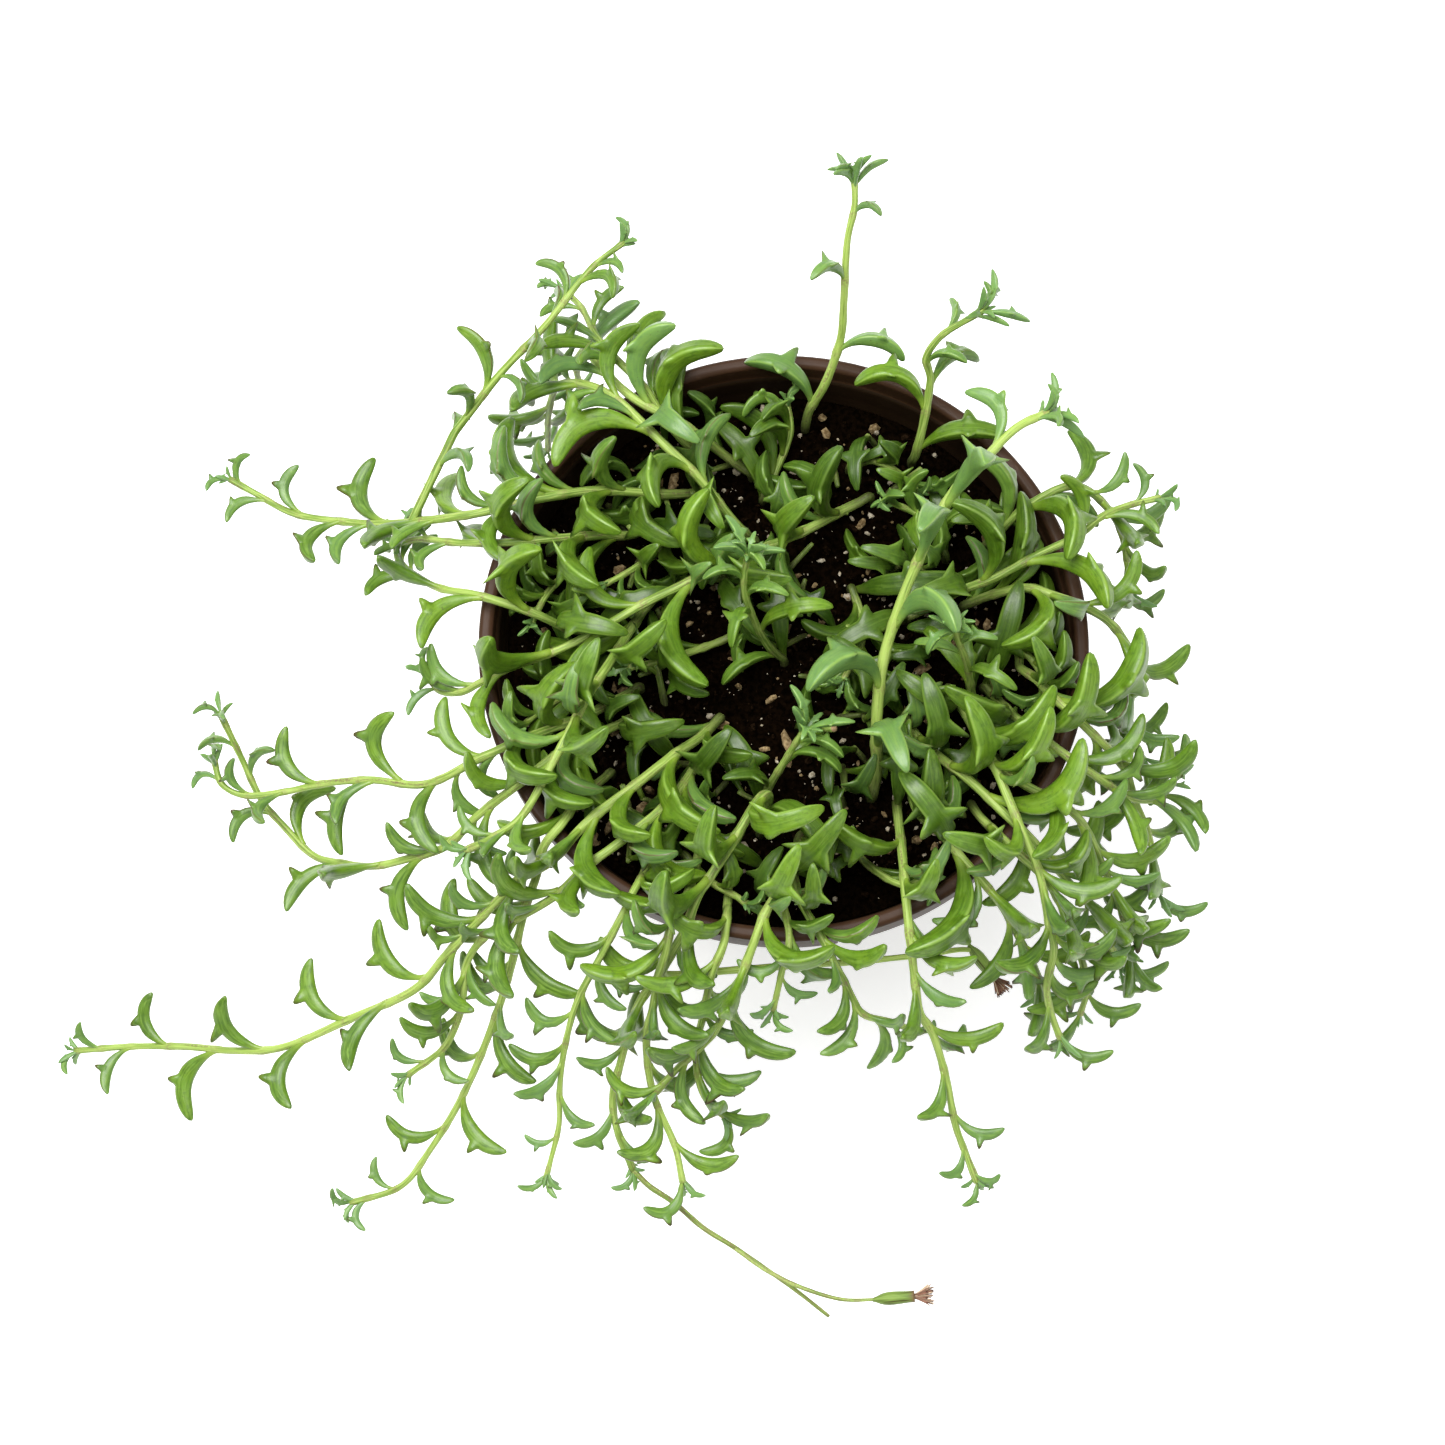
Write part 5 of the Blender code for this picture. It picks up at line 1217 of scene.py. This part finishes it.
def leaf_course(leaf, shares, crook):
    """The directions of a leaf that bends most at its fins, at shares of its length."""
    length, lean, bend = leaf[3:6]
    steps = np.linspace(0.0, 1.0, 81)
    turn = np.clip((steps - 0.22) / 0.66, 0.0, 1.0)
    turned_by = (1.0 - crook) * steps + crook * turn * turn * (3.0 - 2.0 * turn)
    angle = lean + bend * turned_by
    middle = 0.5 * (angle[1:] + angle[:-1])
    ahead = np.concatenate([[0.0], np.cumsum(np.cos(middle))]) * length / 80.0
    aside = np.concatenate([[0.0], np.cumsum(np.sin(middle))]) * length / 80.0
    angle = np.interp(shares, steps, angle)
    ahead = np.interp(shares, steps, ahead)
    aside = np.interp(shares, steps, aside)
    return leaf_frame(leaf, shares, angle, ahead, aside)


def leaf_skin(skin, leaf, dice, youth, rim, rings=BIG_RINGS, slimness=1.0, finned=1.0, painted_shade=0.0):
    """Adds one leaf: a slim foot, a rounded three-sided body, two fins and a blunt point."""
    length = leaf[3]
    centre, way, inner, side = leaf_course(leaf, rings, dice.uniform(0.0, 0.6))
    inside, beside, ridge, face, fins = SECTION.T
    half = 0.5 * WIDTH_SHARE * length * leaf_profile(rings) * slimness
    wave = dice.uniform(0.0, 6.28)
    half *= 1.0 + EDGE_WAVE * np.sin(rings * dice.uniform(7, 13) + wave)
    shaped = np.clip((rings - FOOT_ENDS) / BODY_OVER, 0.0, 1.0)[:, None]
    angle = round_angles(AROUND)
    inward = (shaped * inside + (1.0 - shaped) * FOOT_THICK * np.cos(angle)) * half[:, None]
    aside = (shaped * beside + (1.0 - shaped) * FOOT_THICK * np.sin(angle)) * half[:, None]
    points = (centre[:, None] + inner[:, None] * inward[:, :, None]
        + side[:, None] * aside[:, :, None])
    fin_at = FIN_AT + dice.uniform(-0.03, 0.03)
    for turn in (-1, 1):
        size = finned * FIN_SHARE * length * dice.choice(FIN_SIZES)
        off = (rings - fin_at - dice.uniform(-0.02, 0.02)) / dice.uniform(*FIN_HALF)
        near = np.cos(0.5 * math.pi * np.clip(off, -1.0, 1.0)) ** 1.2
        weight = near[:, None] * fins * (beside * turn > 0)
        fin = unit(np.array((0.85 * turn, -dice.uniform(0.2, 0.7), dice.uniform(-0.5, 0.2))))
        out = side * fin[0] + inner * fin[1] + way * fin[2]
        points += out[:, None] * (size * weight)[:, :, None]
    tip = centre[-1] + way[-1] * 0.018 * length - inner[-1] * 0.1 * half[-1]
    foot = centre[0] - way[0] * 0.02 * length
    offset = dice.uniform(0.0, 90.0)
    fast, slow = LEAF_GRAIN
    grain = np.stack([inward * fast, aside * fast,
        np.repeat((rings * length * slow)[:, None], AROUND, axis=1)], axis=-1).reshape(-1, 3)
    marks = {
        "along": np.concatenate([np.repeat(rings, AROUND), [0.0, 1.0]]),
        "ridge": np.concatenate([(shaped * ridge).ravel(), [0.0, 0.8]]),
        "face": np.concatenate([(shaped * face).ravel(), [0.0, 0.0]]),
        "tone": dice.uniform(0.0, 1.0), "youth": youth, "rim": rim, "painted_shade": painted_shade,
    }
    skin.add(np.vstack([points.reshape(-1, 3), foot, tip]), ring_faces(len(rings), AROUND), 0,
        marks, with_ends(grain + offset))


def bud_leaves(skin, line, dice, rim, growth, count, slimness):
    """Adds the crowded small leaves that open at a stem's tip."""
    forward = unit(line[-1] - line[-3])
    across = unit(np.cross(forward, (0.2, 0.3, 1.0)))
    over = np.cross(forward, across)
    start = dice.uniform(0.0, 6.28)
    for index in range(count):
        angle = start + index * BUD_TURN
        outward = math.cos(angle) * across + math.sin(angle) * over
        length = growth * dice.uniform(3.0, 7.4)
        leaf = (line[-1] - forward * (0.4 + 0.5 * index), forward, outward, length,
            math.radians(dice.uniform(12, 38)), math.radians(dice.uniform(15, 70)), 0.0)
        leaf_skin(skin, leaf, dice, dice.uniform(0.8, 1.0), rim, SMALL_RINGS, slimness, 0.7)


def taken_room(plant):
    """The space that the solids' stems and leaves take."""
    room = Room()
    for owner, parts in enumerate(plant.values()):
        for line, radius, leaves in parts:
            room.take(resampled(line, BALL_STEP), radius, owner)
            for leaf in leaves:
                balls, sizes = leaf_chain(leaf)
                room.take(balls, sizes * SNUG, owner)
    return room


def add_leaf(room, owner, spot, sunk, roll, length, dice, leaves, lean=None):
    """Adds a leaf to the list where there is room for one about that long."""
    made = try_leaf(room, owner, spot, sunk, math.radians(roll), length, dice, lean)
    if made is not None and made[0][3] > LEAST_LENGTH * length:
        room.take(made[1], made[2] * SNUG, owner)
        leaves.append(made[0])


def side_leaves(room, plant):
    """Smaller leaves between the large ones of each stem: {name: [leaves of each part]}."""
    made = {}
    for owner, (name, parts) in enumerate(plant.items()):
        dice = random.Random(SIDE_SEED + owner)
        made[name] = []
        for line, radius, leaves in parts:
            extra = []
            along = lengths_along(line)
            place = SIDE_FROM if leaves else along[-1]
            while place < along[-1] - SIDE_UNTIL:
                spot = frame_on(line, along, place)
                reach = reach_of(spot[0])
                apart = min(np.linalg.norm(leaf[0] - spot[0]) for leaf in leaves)
                if apart > SIDE_APART and reach < SIDE_REACH and name not in LIT_STEMS:
                    roll = dice.choice((-1, 1)) * dice.uniform(15, 120)
                    lengths = SIDE_INSIDE
                    if reach > RIM_RADIUS:
                        lengths = SIDE_LARGE if name in LARGE_TO_TIP else SIDE_OUTSIDE
                    length = dice.uniform(*lengths)
                    add_leaf(room, owner, spot, 0.3 * radius, roll, length, dice, extra)
                place += dice.uniform(5.0, 9.0) * (1.0 if reach > RIM_RADIUS else 1.6)
            made[name].append(extra)
    return made


def low_shoots(room, owner):
    """Short shoots that cover most of the soil: [(line, radius, leaves), ...]."""
    dice = random.Random(LOW_SEED)
    shoots = []
    for index in range(LOW_SHOOTS):
        reach = (ROOT_LIMIT + 3.0) * math.sqrt((index + 0.5) / LOW_SHOOTS)
        angle = index * LOW_TURN + dice.uniform(-0.2, 0.2)
        foot = np.array((reach * math.cos(angle), reach * math.sin(angle), SOIL_TOP - 1.5))
        if hiding(foot[None]) > 0.0:
            continue
        way = unit(np.array((dice.uniform(-1, 1), dice.uniform(-1, 1), dice.uniform(0.5, 1.2))))
        height = dice.uniform(*LOW_HEIGHT)
        bow = np.array((way[0], way[1], -0.4)) * 2.0
        steps = np.linspace(0.0, 1.0, 9)[:, None]
        line = foot + way * height * steps + bow * steps ** 2
        along = np.linspace(0.0, height, 9)
        leaves = []
        roll = dice.uniform(0, 360)
        for place in np.arange(LOW_STEP, height + 0.6, LOW_STEP):
            spot = frame_on(line, along, min(place, height - 0.3))
            roll += dice.uniform(110, 170)
            length = dice.uniform(*LOW_LEAF)
            add_leaf(room, owner, spot, 0.2, roll, length, dice, leaves, dice.uniform(25, 50))
        if leaves:
            shoots.append((line, dice.uniform(0.8, 1.1), leaves))
    return shoots


def shoots_piece(name, shoots, materials):
    """A group of the low shoots as one piece."""
    skin = Skin()
    dice = random.Random(len(shoots))
    for line, radius, leaves in shoots:
        stem_skin(skin, line, radius, leaves, dice, 0.0, dice.uniform(0.0, 0.5))
        for leaf in leaves:
            # Their leaves get painted shade, as they lie low under the stems
            leaf_skin(skin, leaf, dice, dice.uniform(0.0, 0.3), 0.0, SMALL_RINGS,
                painted_shade=dice.uniform(0.45, 1.0))
    made = skin.piece(name, materials)


def stem_skin(skin, line, radius, leaves, dice, rim, tone):
    """Adds a stem's skin: thicker and scarred at each leaf, thinner towards its tip."""
    line = smooth(line, SKIN_STEP)
    share = np.linspace(0.0, 1.0, len(line))
    radii = radius * taper(share)
    scar = np.full(len(line), 0.0 if leaves or tone > 0.5 else 0.6)
    for leaf in leaves:
        away = np.linalg.norm(line - leaf[0], axis=1)
        radii = radii * (1.0 + THICKER * np.exp(-((away / THICKER_OVER) ** 2)))
        scar = np.maximum(scar, np.exp(-((away / SCAR_OVER) ** 2)) * dice.uniform(0.2, 1.0))
    radii = radii * (1.0 + 0.03 * np.sin(share * 61.0 + radius * 9.0))
    tones = np.clip(tone + 0.25 * np.sin(share * dice.uniform(5, 11) + dice.uniform(0, 6)), 0, 1)
    # Painted shade: darkest where a rooted stem leaves the soil, fading over ROOT_SHADE up the stem
    steps = np.linalg.norm(np.diff(line, axis=0), axis=1)
    out = np.concatenate([[0.0], np.cumsum(steps * (line[1:, 2] > SOIL_TOP))])
    rooted = line[0, 2] < SOIL_TOP and reach_of(line[0]) < RIM_RADIUS - 8.0
    painted_shade = np.exp(-((out / ROOT_SHADE) ** 2)) * rooted
    marks = {"scar": scar, "tone": tones, "rim": rim, "painted_shade": painted_shade}
    tube_skin(skin, line, radii, STEM_AROUND, 1, marks, STEM_RIBS, dice.uniform(0, 9))


def ramp(value, begin, full):
    """0 up to where it begins, 1 from where it is full, and even in between."""
    return min(1.0, max(0.0, (value - begin) / (full - begin)))


def stem_piece(name, parts, extra, materials):
    """One stem of the plant with all that grows on it."""
    skin = Skin()
    dice = random.Random(int(name) * 17 + 3)
    for place, ((line, radius, leaves), more) in enumerate(zip(parts, extra)):
        reach = reach_of(line[-1])
        rim = ramp(reach, *STEM_BROWNING) * dice.uniform(0.6, 1.0)
        # Painted light: stems that catch the light get the palest skin
        tone = 0.95 if name in LIT_STEMS else dice.uniform(0.15, 0.75)
        if not leaves:
            rim, tone = 1.0, 0.1
            if place == GREEN_STALK:
                rim, tone, radius = 0.2, 0.9, GREEN_STALK_THICKER * radius
        stem_skin(skin, line, radius, leaves, dice, rim, tone)
        for leaf in leaves:
            out = reach_of(leaf[0])
            edge = ramp(out, *LEAF_BROWNING) * dice.uniform(0.4, 1.0)
            youth = ramp(leaf[3], *YOUTH) * dice.uniform(0.4, 1.0)
            if name in LIT_STEMS:
                youth = max(youth, 0.75)
            # Painted shade for leaves whose foot sits low inside the pot
            painted_shade = ramp(leaf[0][2], *SHADE) * (out < RIM_RADIUS - 8.0)
            leaf_skin(skin, leaf, dice, youth, edge, painted_shade=painted_shade * 0.75)
        for leaf in more:
            edge = ramp(reach, *LEAF_BROWNING) * dice.uniform(0.4, 1.0)
            leaf_skin(skin, leaf, dice, dice.uniform(0.1, 0.6), edge, SMALL_RINGS)
        if leaves:
            buds = YOUNG_BUDS if name in YOUNG else BUDS
            if name in LARGE_TO_TIP:
                buds = LARGE_BUDS
            bud_leaves(skin, line, dice, rim * 0.5, *buds)
    if name == FLOWERING:
        for head in HEADS:
            cup_skin(skin, head)
    made = skin.piece("growing_stem_" + name, materials)
    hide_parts("leafy_stem_" + name)


def cup_skin(skin, head):
    """Adds the ribbed cup of a spent flower."""
    start, way = head_frame(head)
    places, radii = np.array(CUP).T
    line = start + way * places[:, None]
    course = start + way * np.linspace(places[0], HEAD_LENGTH, len(places))[:, None]
    _, across, over = line_frames(course)
    angle = round_angles(CUP_AROUND)
    ribs = 1.0 + 0.05 * np.cos(angle * CUP_RIBS)
    ring = np.cos(angle)[:, None] * across[0] + np.sin(angle)[:, None] * over[0]
    points = (line[:, None] + ring[None] * (radii[:, None] * ribs)[:, :, None]).reshape(-1, 3)
    ends = [line[0] - way * 0.3, line[-1]]
    along = np.repeat(np.clip(places / HEAD_LENGTH, 0.0, 1.0), CUP_AROUND)
    fast, slow = CUP_GRAIN
    grain = np.stack([np.tile(np.cos(angle) * fast, len(places)),
        np.tile(np.sin(angle) * fast, len(places)), along * slow], axis=-1)
    skin.add(np.vstack([points, ends]), ring_faces(len(places), CUP_AROUND), 2,
        {"along": np.concatenate([along, [0.0, 1.0]])}, with_ends(grain))


def tuft_piece(index, head, material):
    """The dry bristles of one spent flower."""
    start, way = head_frame(head)
    skin = Skin()
    dice = random.Random(TUFT_SEED + index)
    foot = start + way * (HEAD_LENGTH - TUFT_SUNK)
    across = unit(np.cross(way, (0.1, 0.2, 1.0)))
    over = np.cross(way, across)
    core = foot + way * np.array((0.0, 0.8, 1.6, 2.4, 3.0))[:, None]
    tube_skin(skin, core, (0.6, 0.62, 0.6, 0.5, 0.3), 10, 0, {"along": 0.1})
    for _ in range(BRISTLES):
        angle = dice.uniform(0.0, 2 * math.pi)
        aside = math.cos(angle) * across + math.sin(angle) * over
        spread = math.sqrt(dice.uniform(0.0, 1.0))
        reach = TUFT_LENGTH * dice.uniform(0.7, 1.08)
        steps = np.linspace(0.0, 1.0, 6)[:, None]
        line = (foot + way * (TUFT_SUNK + (reach - 0.4) * steps) + aside * spread
            * (TUFT_FOOT + TUFT_SPREAD * steps ** 1.2))
        tube_skin(skin, line, np.linspace(*BRISTLE_RADII, 6), 4, 0,
            {"along": steps[:, 0], "tone": dice.choice((0.0, 0.15, 0.5, 1.0))})
    made = skin.piece(f"bristles_{index}", [material])
    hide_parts(f"dry_flower_tuft_{index}")


def wall_inside(height):
    """Inner radius of the pot's wall at a height."""
    share = (height - FLOOR) / (RIM_TOP - LIP_DROP - FLOOR)
    return BASE_INSIDE + share * (LIP_INSIDE - BASE_INSIDE)


def turned_skin(profile, steps):
    """A skin turned round the upright axis from a profile that starts and ends near it."""
    profile = np.array(profile, float)
    angle = round_angles(steps)
    points = np.stack([profile[:, 0:1] * np.cos(angle), profile[:, 0:1] * np.sin(angle),
        np.repeat(profile[:, 1:2], steps, axis=1)], axis=-1)
    skin = Skin()
    ends = [points[0].mean(axis=0), points[-1].mean(axis=0)]
    skin.add(np.vstack([points.reshape(-1, 3), ends]), ring_faces(len(profile), steps), 0, {})
    return skin


def rounded(profile, radius):
    """A profile with its corners rounded by short arcs."""
    made = [profile[0]]
    for before, here, after in zip(profile[:-2], profile[1:-1], profile[2:]):
        here = np.array(here, float)
        to = np.array(before) - here
        on = np.array(after) - here
        cut = min(radius, 0.45 * np.linalg.norm(to), 0.45 * np.linalg.norm(on))
        first = here + to / np.linalg.norm(to) * cut
        last = here + on / np.linalg.norm(on) * cut
        for share in (0.0, 0.25, 0.5, 0.75, 1.0):
            made.append(tuple((1 - share) ** 2 * first + 2 * share * (1 - share) * here
                + share ** 2 * last))
    return made + [profile[-1]]


def block(corner, sides):
    """A plain six-sided cutter from a corner and three side directions."""
    skin = Skin()
    points = [corner + sides[0] * a + sides[1] * b + sides[2] * c
        for a in (0, 1) for b in (0, 1) for c in (0, 1)]
    faces = ((0, 1, 3, 2), (4, 6, 7, 5), (0, 4, 5, 1), (2, 3, 7, 6), (0, 2, 6, 4), (1, 5, 7, 3))
    skin.add(points, [faces], 0, {})
    return skin


def cut_away(made, cutters):
    """Takes the cutters out of a piece, and then out of the scene."""
    for cutter in cutters:
        points = np.array([vertex.co for vertex in cutter.data.vertices])
        faces = [tuple(face.vertices)[:3] for face in cutter.data.polygons]
        if np.linalg.det(points[np.array(faces)] - points.mean(axis=0)).sum() < 0:
            cutter.data.flip_normals()
        modifier = made.modifiers.new("hole", "BOOLEAN")
        modifier.operation = "DIFFERENCE"
        modifier.solver = "EXACT"
        modifier.object = cutter
        graph = bpy.context.evaluated_depsgraph_get()
        mesh = bpy.data.meshes.new_from_object(made.evaluated_get(graph))
        made.modifiers.clear()
        made.data = mesh
        bpy.data.objects.remove(cutter)
    made.data.polygons.foreach_set("use_smooth", np.full(len(made.data.polygons), True))
    made.data.set_sharp_from_angle(angle=math.radians(38))


def pot_piece(material):
    """The turned pot with a rolled lip, an inner ledge, lip notches and drain holes."""
    under = RIM_TOP - LIP_DROP
    # Radius and height of each corner: out along the base, up, over the lip and down inside
    corners = (
        (4.0, 0.9), (BASE_RADIUS - 9.0, 0.9), (BASE_RADIUS - 8.0, 0.0), (BASE_RADIUS - 1.4, 0.0),
        (BASE_RADIUS, 1.4), (RIM_RADIUS - 3.4, under), (RIM_RADIUS - 1.2, under),
        (RIM_RADIUS - 0.6, under + 0.5), (RIM_RADIUS - 0.25, RIM_TOP - 2.2),
        (RIM_RADIUS, RIM_TOP - 0.9), (RIM_RADIUS - 0.9, RIM_TOP),
        (RIM_RADIUS - RIM_WIDTH + 1.2, RIM_TOP), (RIM_RADIUS - RIM_WIDTH + 0.3, RIM_TOP - 0.7),
        (RIM_RADIUS - RIM_WIDTH, RIM_TOP - 5.5), (RIM_RADIUS - RIM_WIDTH - 0.9, RIM_TOP - 6.3),
        (wall_inside(under), under), (wall_inside(FLOOR + 1.4), FLOOR + 1.4),
        (wall_inside(FLOOR) - 1.2, FLOOR), (4.0, FLOOR),
    )
    made = turned_skin(rounded(corners, 0.6), POT_AROUND).piece("turned_pot", [material])
    cutters = []
    for index in range(DRAIN_HOLES):
        angle = 2 * math.pi * (index + 0.25) / DRAIN_HOLES
        middle = np.array((DRAIN_CIRCLE * math.cos(angle), DRAIN_CIRCLE * math.sin(angle), 0.0))
        skin = Skin()
        line = middle + np.array((0.0, 0.0, 1.0)) * np.linspace(-2.0, FLOOR + 2.0, 3)[:, None]
        tube_skin(skin, line, np.full(3, DRAIN_RADIUS), 28, 0, {})
        cutters.append(skin.piece(f"drain_cutter_{index}", []))
    for index, degrees in enumerate(NOTCHES):
        angle = math.radians(degrees)
        way = np.array((math.cos(angle), math.sin(angle), 0.0))
        across = np.array((-way[1], way[0], 0.0))
        corner = way * (RIM_RADIUS - 1.7) - across * NOTCH_WIDTH / 2 + (0.0, 0.0, under - 2.0)
        sides = (way * 6.0, across * NOTCH_WIDTH, np.array((0.0, 0.0, NOTCH_HEIGHT + 2.0)))
        cutters.append(block(corner, sides).piece(f"notch_cutter_{index}", []))
    cut_away(made, cutters)
    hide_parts("pot")


def hills(x, y, seed, coarse, fine):
    """Uneven ground from many small waves, between about -1 and 1."""
    dice = random.Random(seed)
    height = np.zeros_like(x)
    for _ in range(WAVES):
        size = coarse * (fine / coarse) ** dice.uniform(0.0, 1.0)
        angle = dice.uniform(0.0, 2 * math.pi)
        wave = 2 * math.pi / size
        height += (size / coarse) ** 0.6 * np.sin(wave * (x * math.cos(angle) + y * math.sin(angle))
            + dice.uniform(0.0, 2 * math.pi))
    return height / math.sqrt(WAVES) * 1.6


def soil_height(x, y):
    """Height of the soil's rough top."""
    reach = np.hypot(x, y)
    edge = np.clip((wall_inside(SOIL_TOP) - reach) / 6.0, 0.0, 1.0)
    return SOIL_TOP + BUMP_HEIGHT * hills(x, y, 5, *BUMP_SIZES) * (0.35 + 0.65 * edge)


def soil_piece(material):
    """The soil's body, with a rough top."""
    reach = wall_inside(SOIL_TOP) - GAP - 0.1
    skin = Skin()
    radii = reach * np.linspace(0.0, 1.0, SOIL_RINGS + 1)[1:] ** 0.8
    angle = round_angles(SOIL_AROUND)
    x = radii[:, None] * np.cos(angle)
    y = radii[:, None] * np.sin(angle)
    top = np.stack([x, y, soil_height(x, y)], axis=-1)
    low = FLOOR + GAP
    walls = [(wall_inside(height) - GAP, height)
        for height in np.linspace(SOIL_TOP - 2.0, low + 1.5, 12)]
    walls += [(wall_inside(low) - 1.8, low), (1.0, low)]
    body = np.array([[(r * math.cos(a), r * math.sin(a), z) for a in angle] for r, z in walls])
    points = np.vstack([top, body])
    ends = [(0.0, 0.0, float(soil_height(np.zeros(1), np.zeros(1))[0])), (0.0, 0.0, low)]
    skin.add(np.vstack([points.reshape(-1, 3), ends]), ring_faces(len(points), SOIL_AROUND), 0,
        {"tone": 0.3})
    made = skin.piece("soil_body", [material])
    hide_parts("soil")


def ball():
    """Points and faces of a unit ball made from twenty triangles."""
    body = bmesh.new()
    bmesh.ops.create_icosphere(body, subdivisions=1, radius=1.0)
    points = np.array([tuple(vertex.co) for vertex in body.verts])
    faces = np.array([[vertex.index for vertex in face.verts] for face in body.faces])
    body.free()
    return points, faces


def loose_piece(material, name, count, low, high, longest, roughness, seed):
    """Loose bits that lie on the soil: crumbs, bark or perlite."""
    skin = Skin()
    dice = np.random.RandomState(seed)
    points, faces = ball()
    limit = wall_inside(SOIL_TOP) - 2.5
    for _ in range(count):
        reach = limit * math.sqrt(dice.uniform(0.0, 1.0))
        angle = dice.uniform(0.0, 2 * math.pi)
        x, y = reach * math.cos(angle), reach * math.sin(angle)
        size = low * (high / low) ** (dice.uniform(0.0, 1.0) ** 1.7)
        stretch = np.array([dice.uniform(1.0, longest), dice.uniform(0.75, 1.0),
            dice.uniform(0.55, 0.9)])
        shape = points * (1.0 + roughness * dice.uniform(-1.0, 1.0, (len(points), 1))) * stretch
        turn = np.linalg.qr(dice.normal(size=(3, 3)))[0]
        if np.linalg.det(turn) < 0:
            turn[:, 0] = -turn[:, 0]
        shape = shape @ turn.T * size * 0.5
        ground = float(soil_height(np.array([x]), np.array([y]))[0])
        skin.add(shape + (x, y, ground + size * 0.18), [faces], 0, {"tone": dice.uniform(0, 1)})
    made = skin.piece(name, [material], smooth=False)


def stubs_piece(material, cut_material):
    """Cut ends of old stems that stand up from the soil."""
    skin = Skin()
    for index, (x, y, dx, dy, rise, radius) in enumerate(STUBS):
        foot = placed((x, y, SOIL_TOP - 1.0))
        way = unit(np.array((dx, dy, rise)))
        line = foot + way * np.linspace(0.0, STUB_LENGTH, 9)[:, None]
        tube_skin(skin, line, np.full(9, radius), 12, 0, {"tone": 0.25, "rim": 0.8}, 0.03, index)
        end = line[-1] + way * np.array((-0.3, 0.15, 0.3))[:, None]
        tube_skin(skin, end, (radius * 0.96, radius * 0.92, radius * 0.5), 12, 1, {})
    made = skin.piece("cut_stubs", [material, cut_material])


def in_scene(name, data):
    """A new object of the scene."""
    made = bpy.data.objects.new(name, data)
    bpy.context.scene.collection.objects.link(made)
    return made


def pale_floor():
    """A wide white floor under the pot."""
    paint = Paint("pale floor", {"Specular IOR Level": 0.2, "Emission Color": WHITE,
        "Emission Strength": FLOOR_GLOW})
    cloud = paint.noise(paint.place(), 3.0)
    white = paint.finish(paint.mix(cloud, *FLOOR_WHITES), 0.8 + cloud * 0.1)
    corners = [(x * FLOOR_HALF, y * FLOOR_HALF, 0.0)
        for x, y in ((-1, -1), (1, -1), (1, 1), (-1, 1))]
    mesh = bpy.data.meshes.new("floor")
    mesh.from_pydata(corners, [], [(0, 1, 2, 3)])
    mesh.materials.append(white)
    in_scene("floor", mesh)


def lights():
    """Even light from all round, and two soft lamps above."""
    world = bpy.data.worlds.new("studio")
    bpy.context.scene.world = world
    world.use_nodes = True
    sky = world.node_tree.nodes["Background"]
    sky.inputs["Color"].default_value = WHITE
    sky.inputs["Strength"].default_value = SKY
    for name, place, size, power in LAMPS:
        lamp = bpy.data.lights.new(name, "AREA")
        lamp.size = size
        lamp.energy = power
        made = in_scene(name, lamp)
        made.location = place
        made.rotation_euler = (LAMPS_FACE - Vector(place)).to_track_quat("-Z", "Y").to_euler()


def photo_camera():
    """The camera at the photograph's point of view."""
    camera = in_scene("camera", bpy.data.cameras.new("camera"))
    camera.location = EYE * MM
    camera.rotation_euler = Vector((AIM - EYE) * MM).to_track_quat("-Z", "Y").to_euler()
    camera.data.sensor_width = 36.0
    camera.data.lens = LENS
    camera.data.clip_start = 0.01
    bpy.context.scene.camera = camera
    bpy.context.scene.view_settings.view_transform = "Standard"


def main():
    """The whole scene."""
    pale_floor()
    lights()
    photo_camera()
    plant = grow_plant()
    room = taken_room(plant)
    extra = side_leaves(room, plant)
    shoots = low_shoots(room, len(plant))
    leaf, stem, cup = leaf_paint(), stem_paint(), cup_paint()
    for name, parts in plant.items():
        stem_piece(name, parts, extra[name], [leaf, stem, cup])
    for index in range(LOW_PIECES):
        shoots_piece(f"low_shoots_{index + 1}", shoots[index::LOW_PIECES], [leaf, stem])
    bristle = bristle_paint()
    for index, head in enumerate(HEADS):
        tuft_piece(index + 1, head, bristle)
    pot_piece(pot_paint())
    soil_piece(ground_paint(*PEAT))
    for ground, *bits in LOOSE:
        loose_piece(ground_paint(*ground), *bits)
    stubs_piece(stem, ground_paint(*CUT_END))


main()
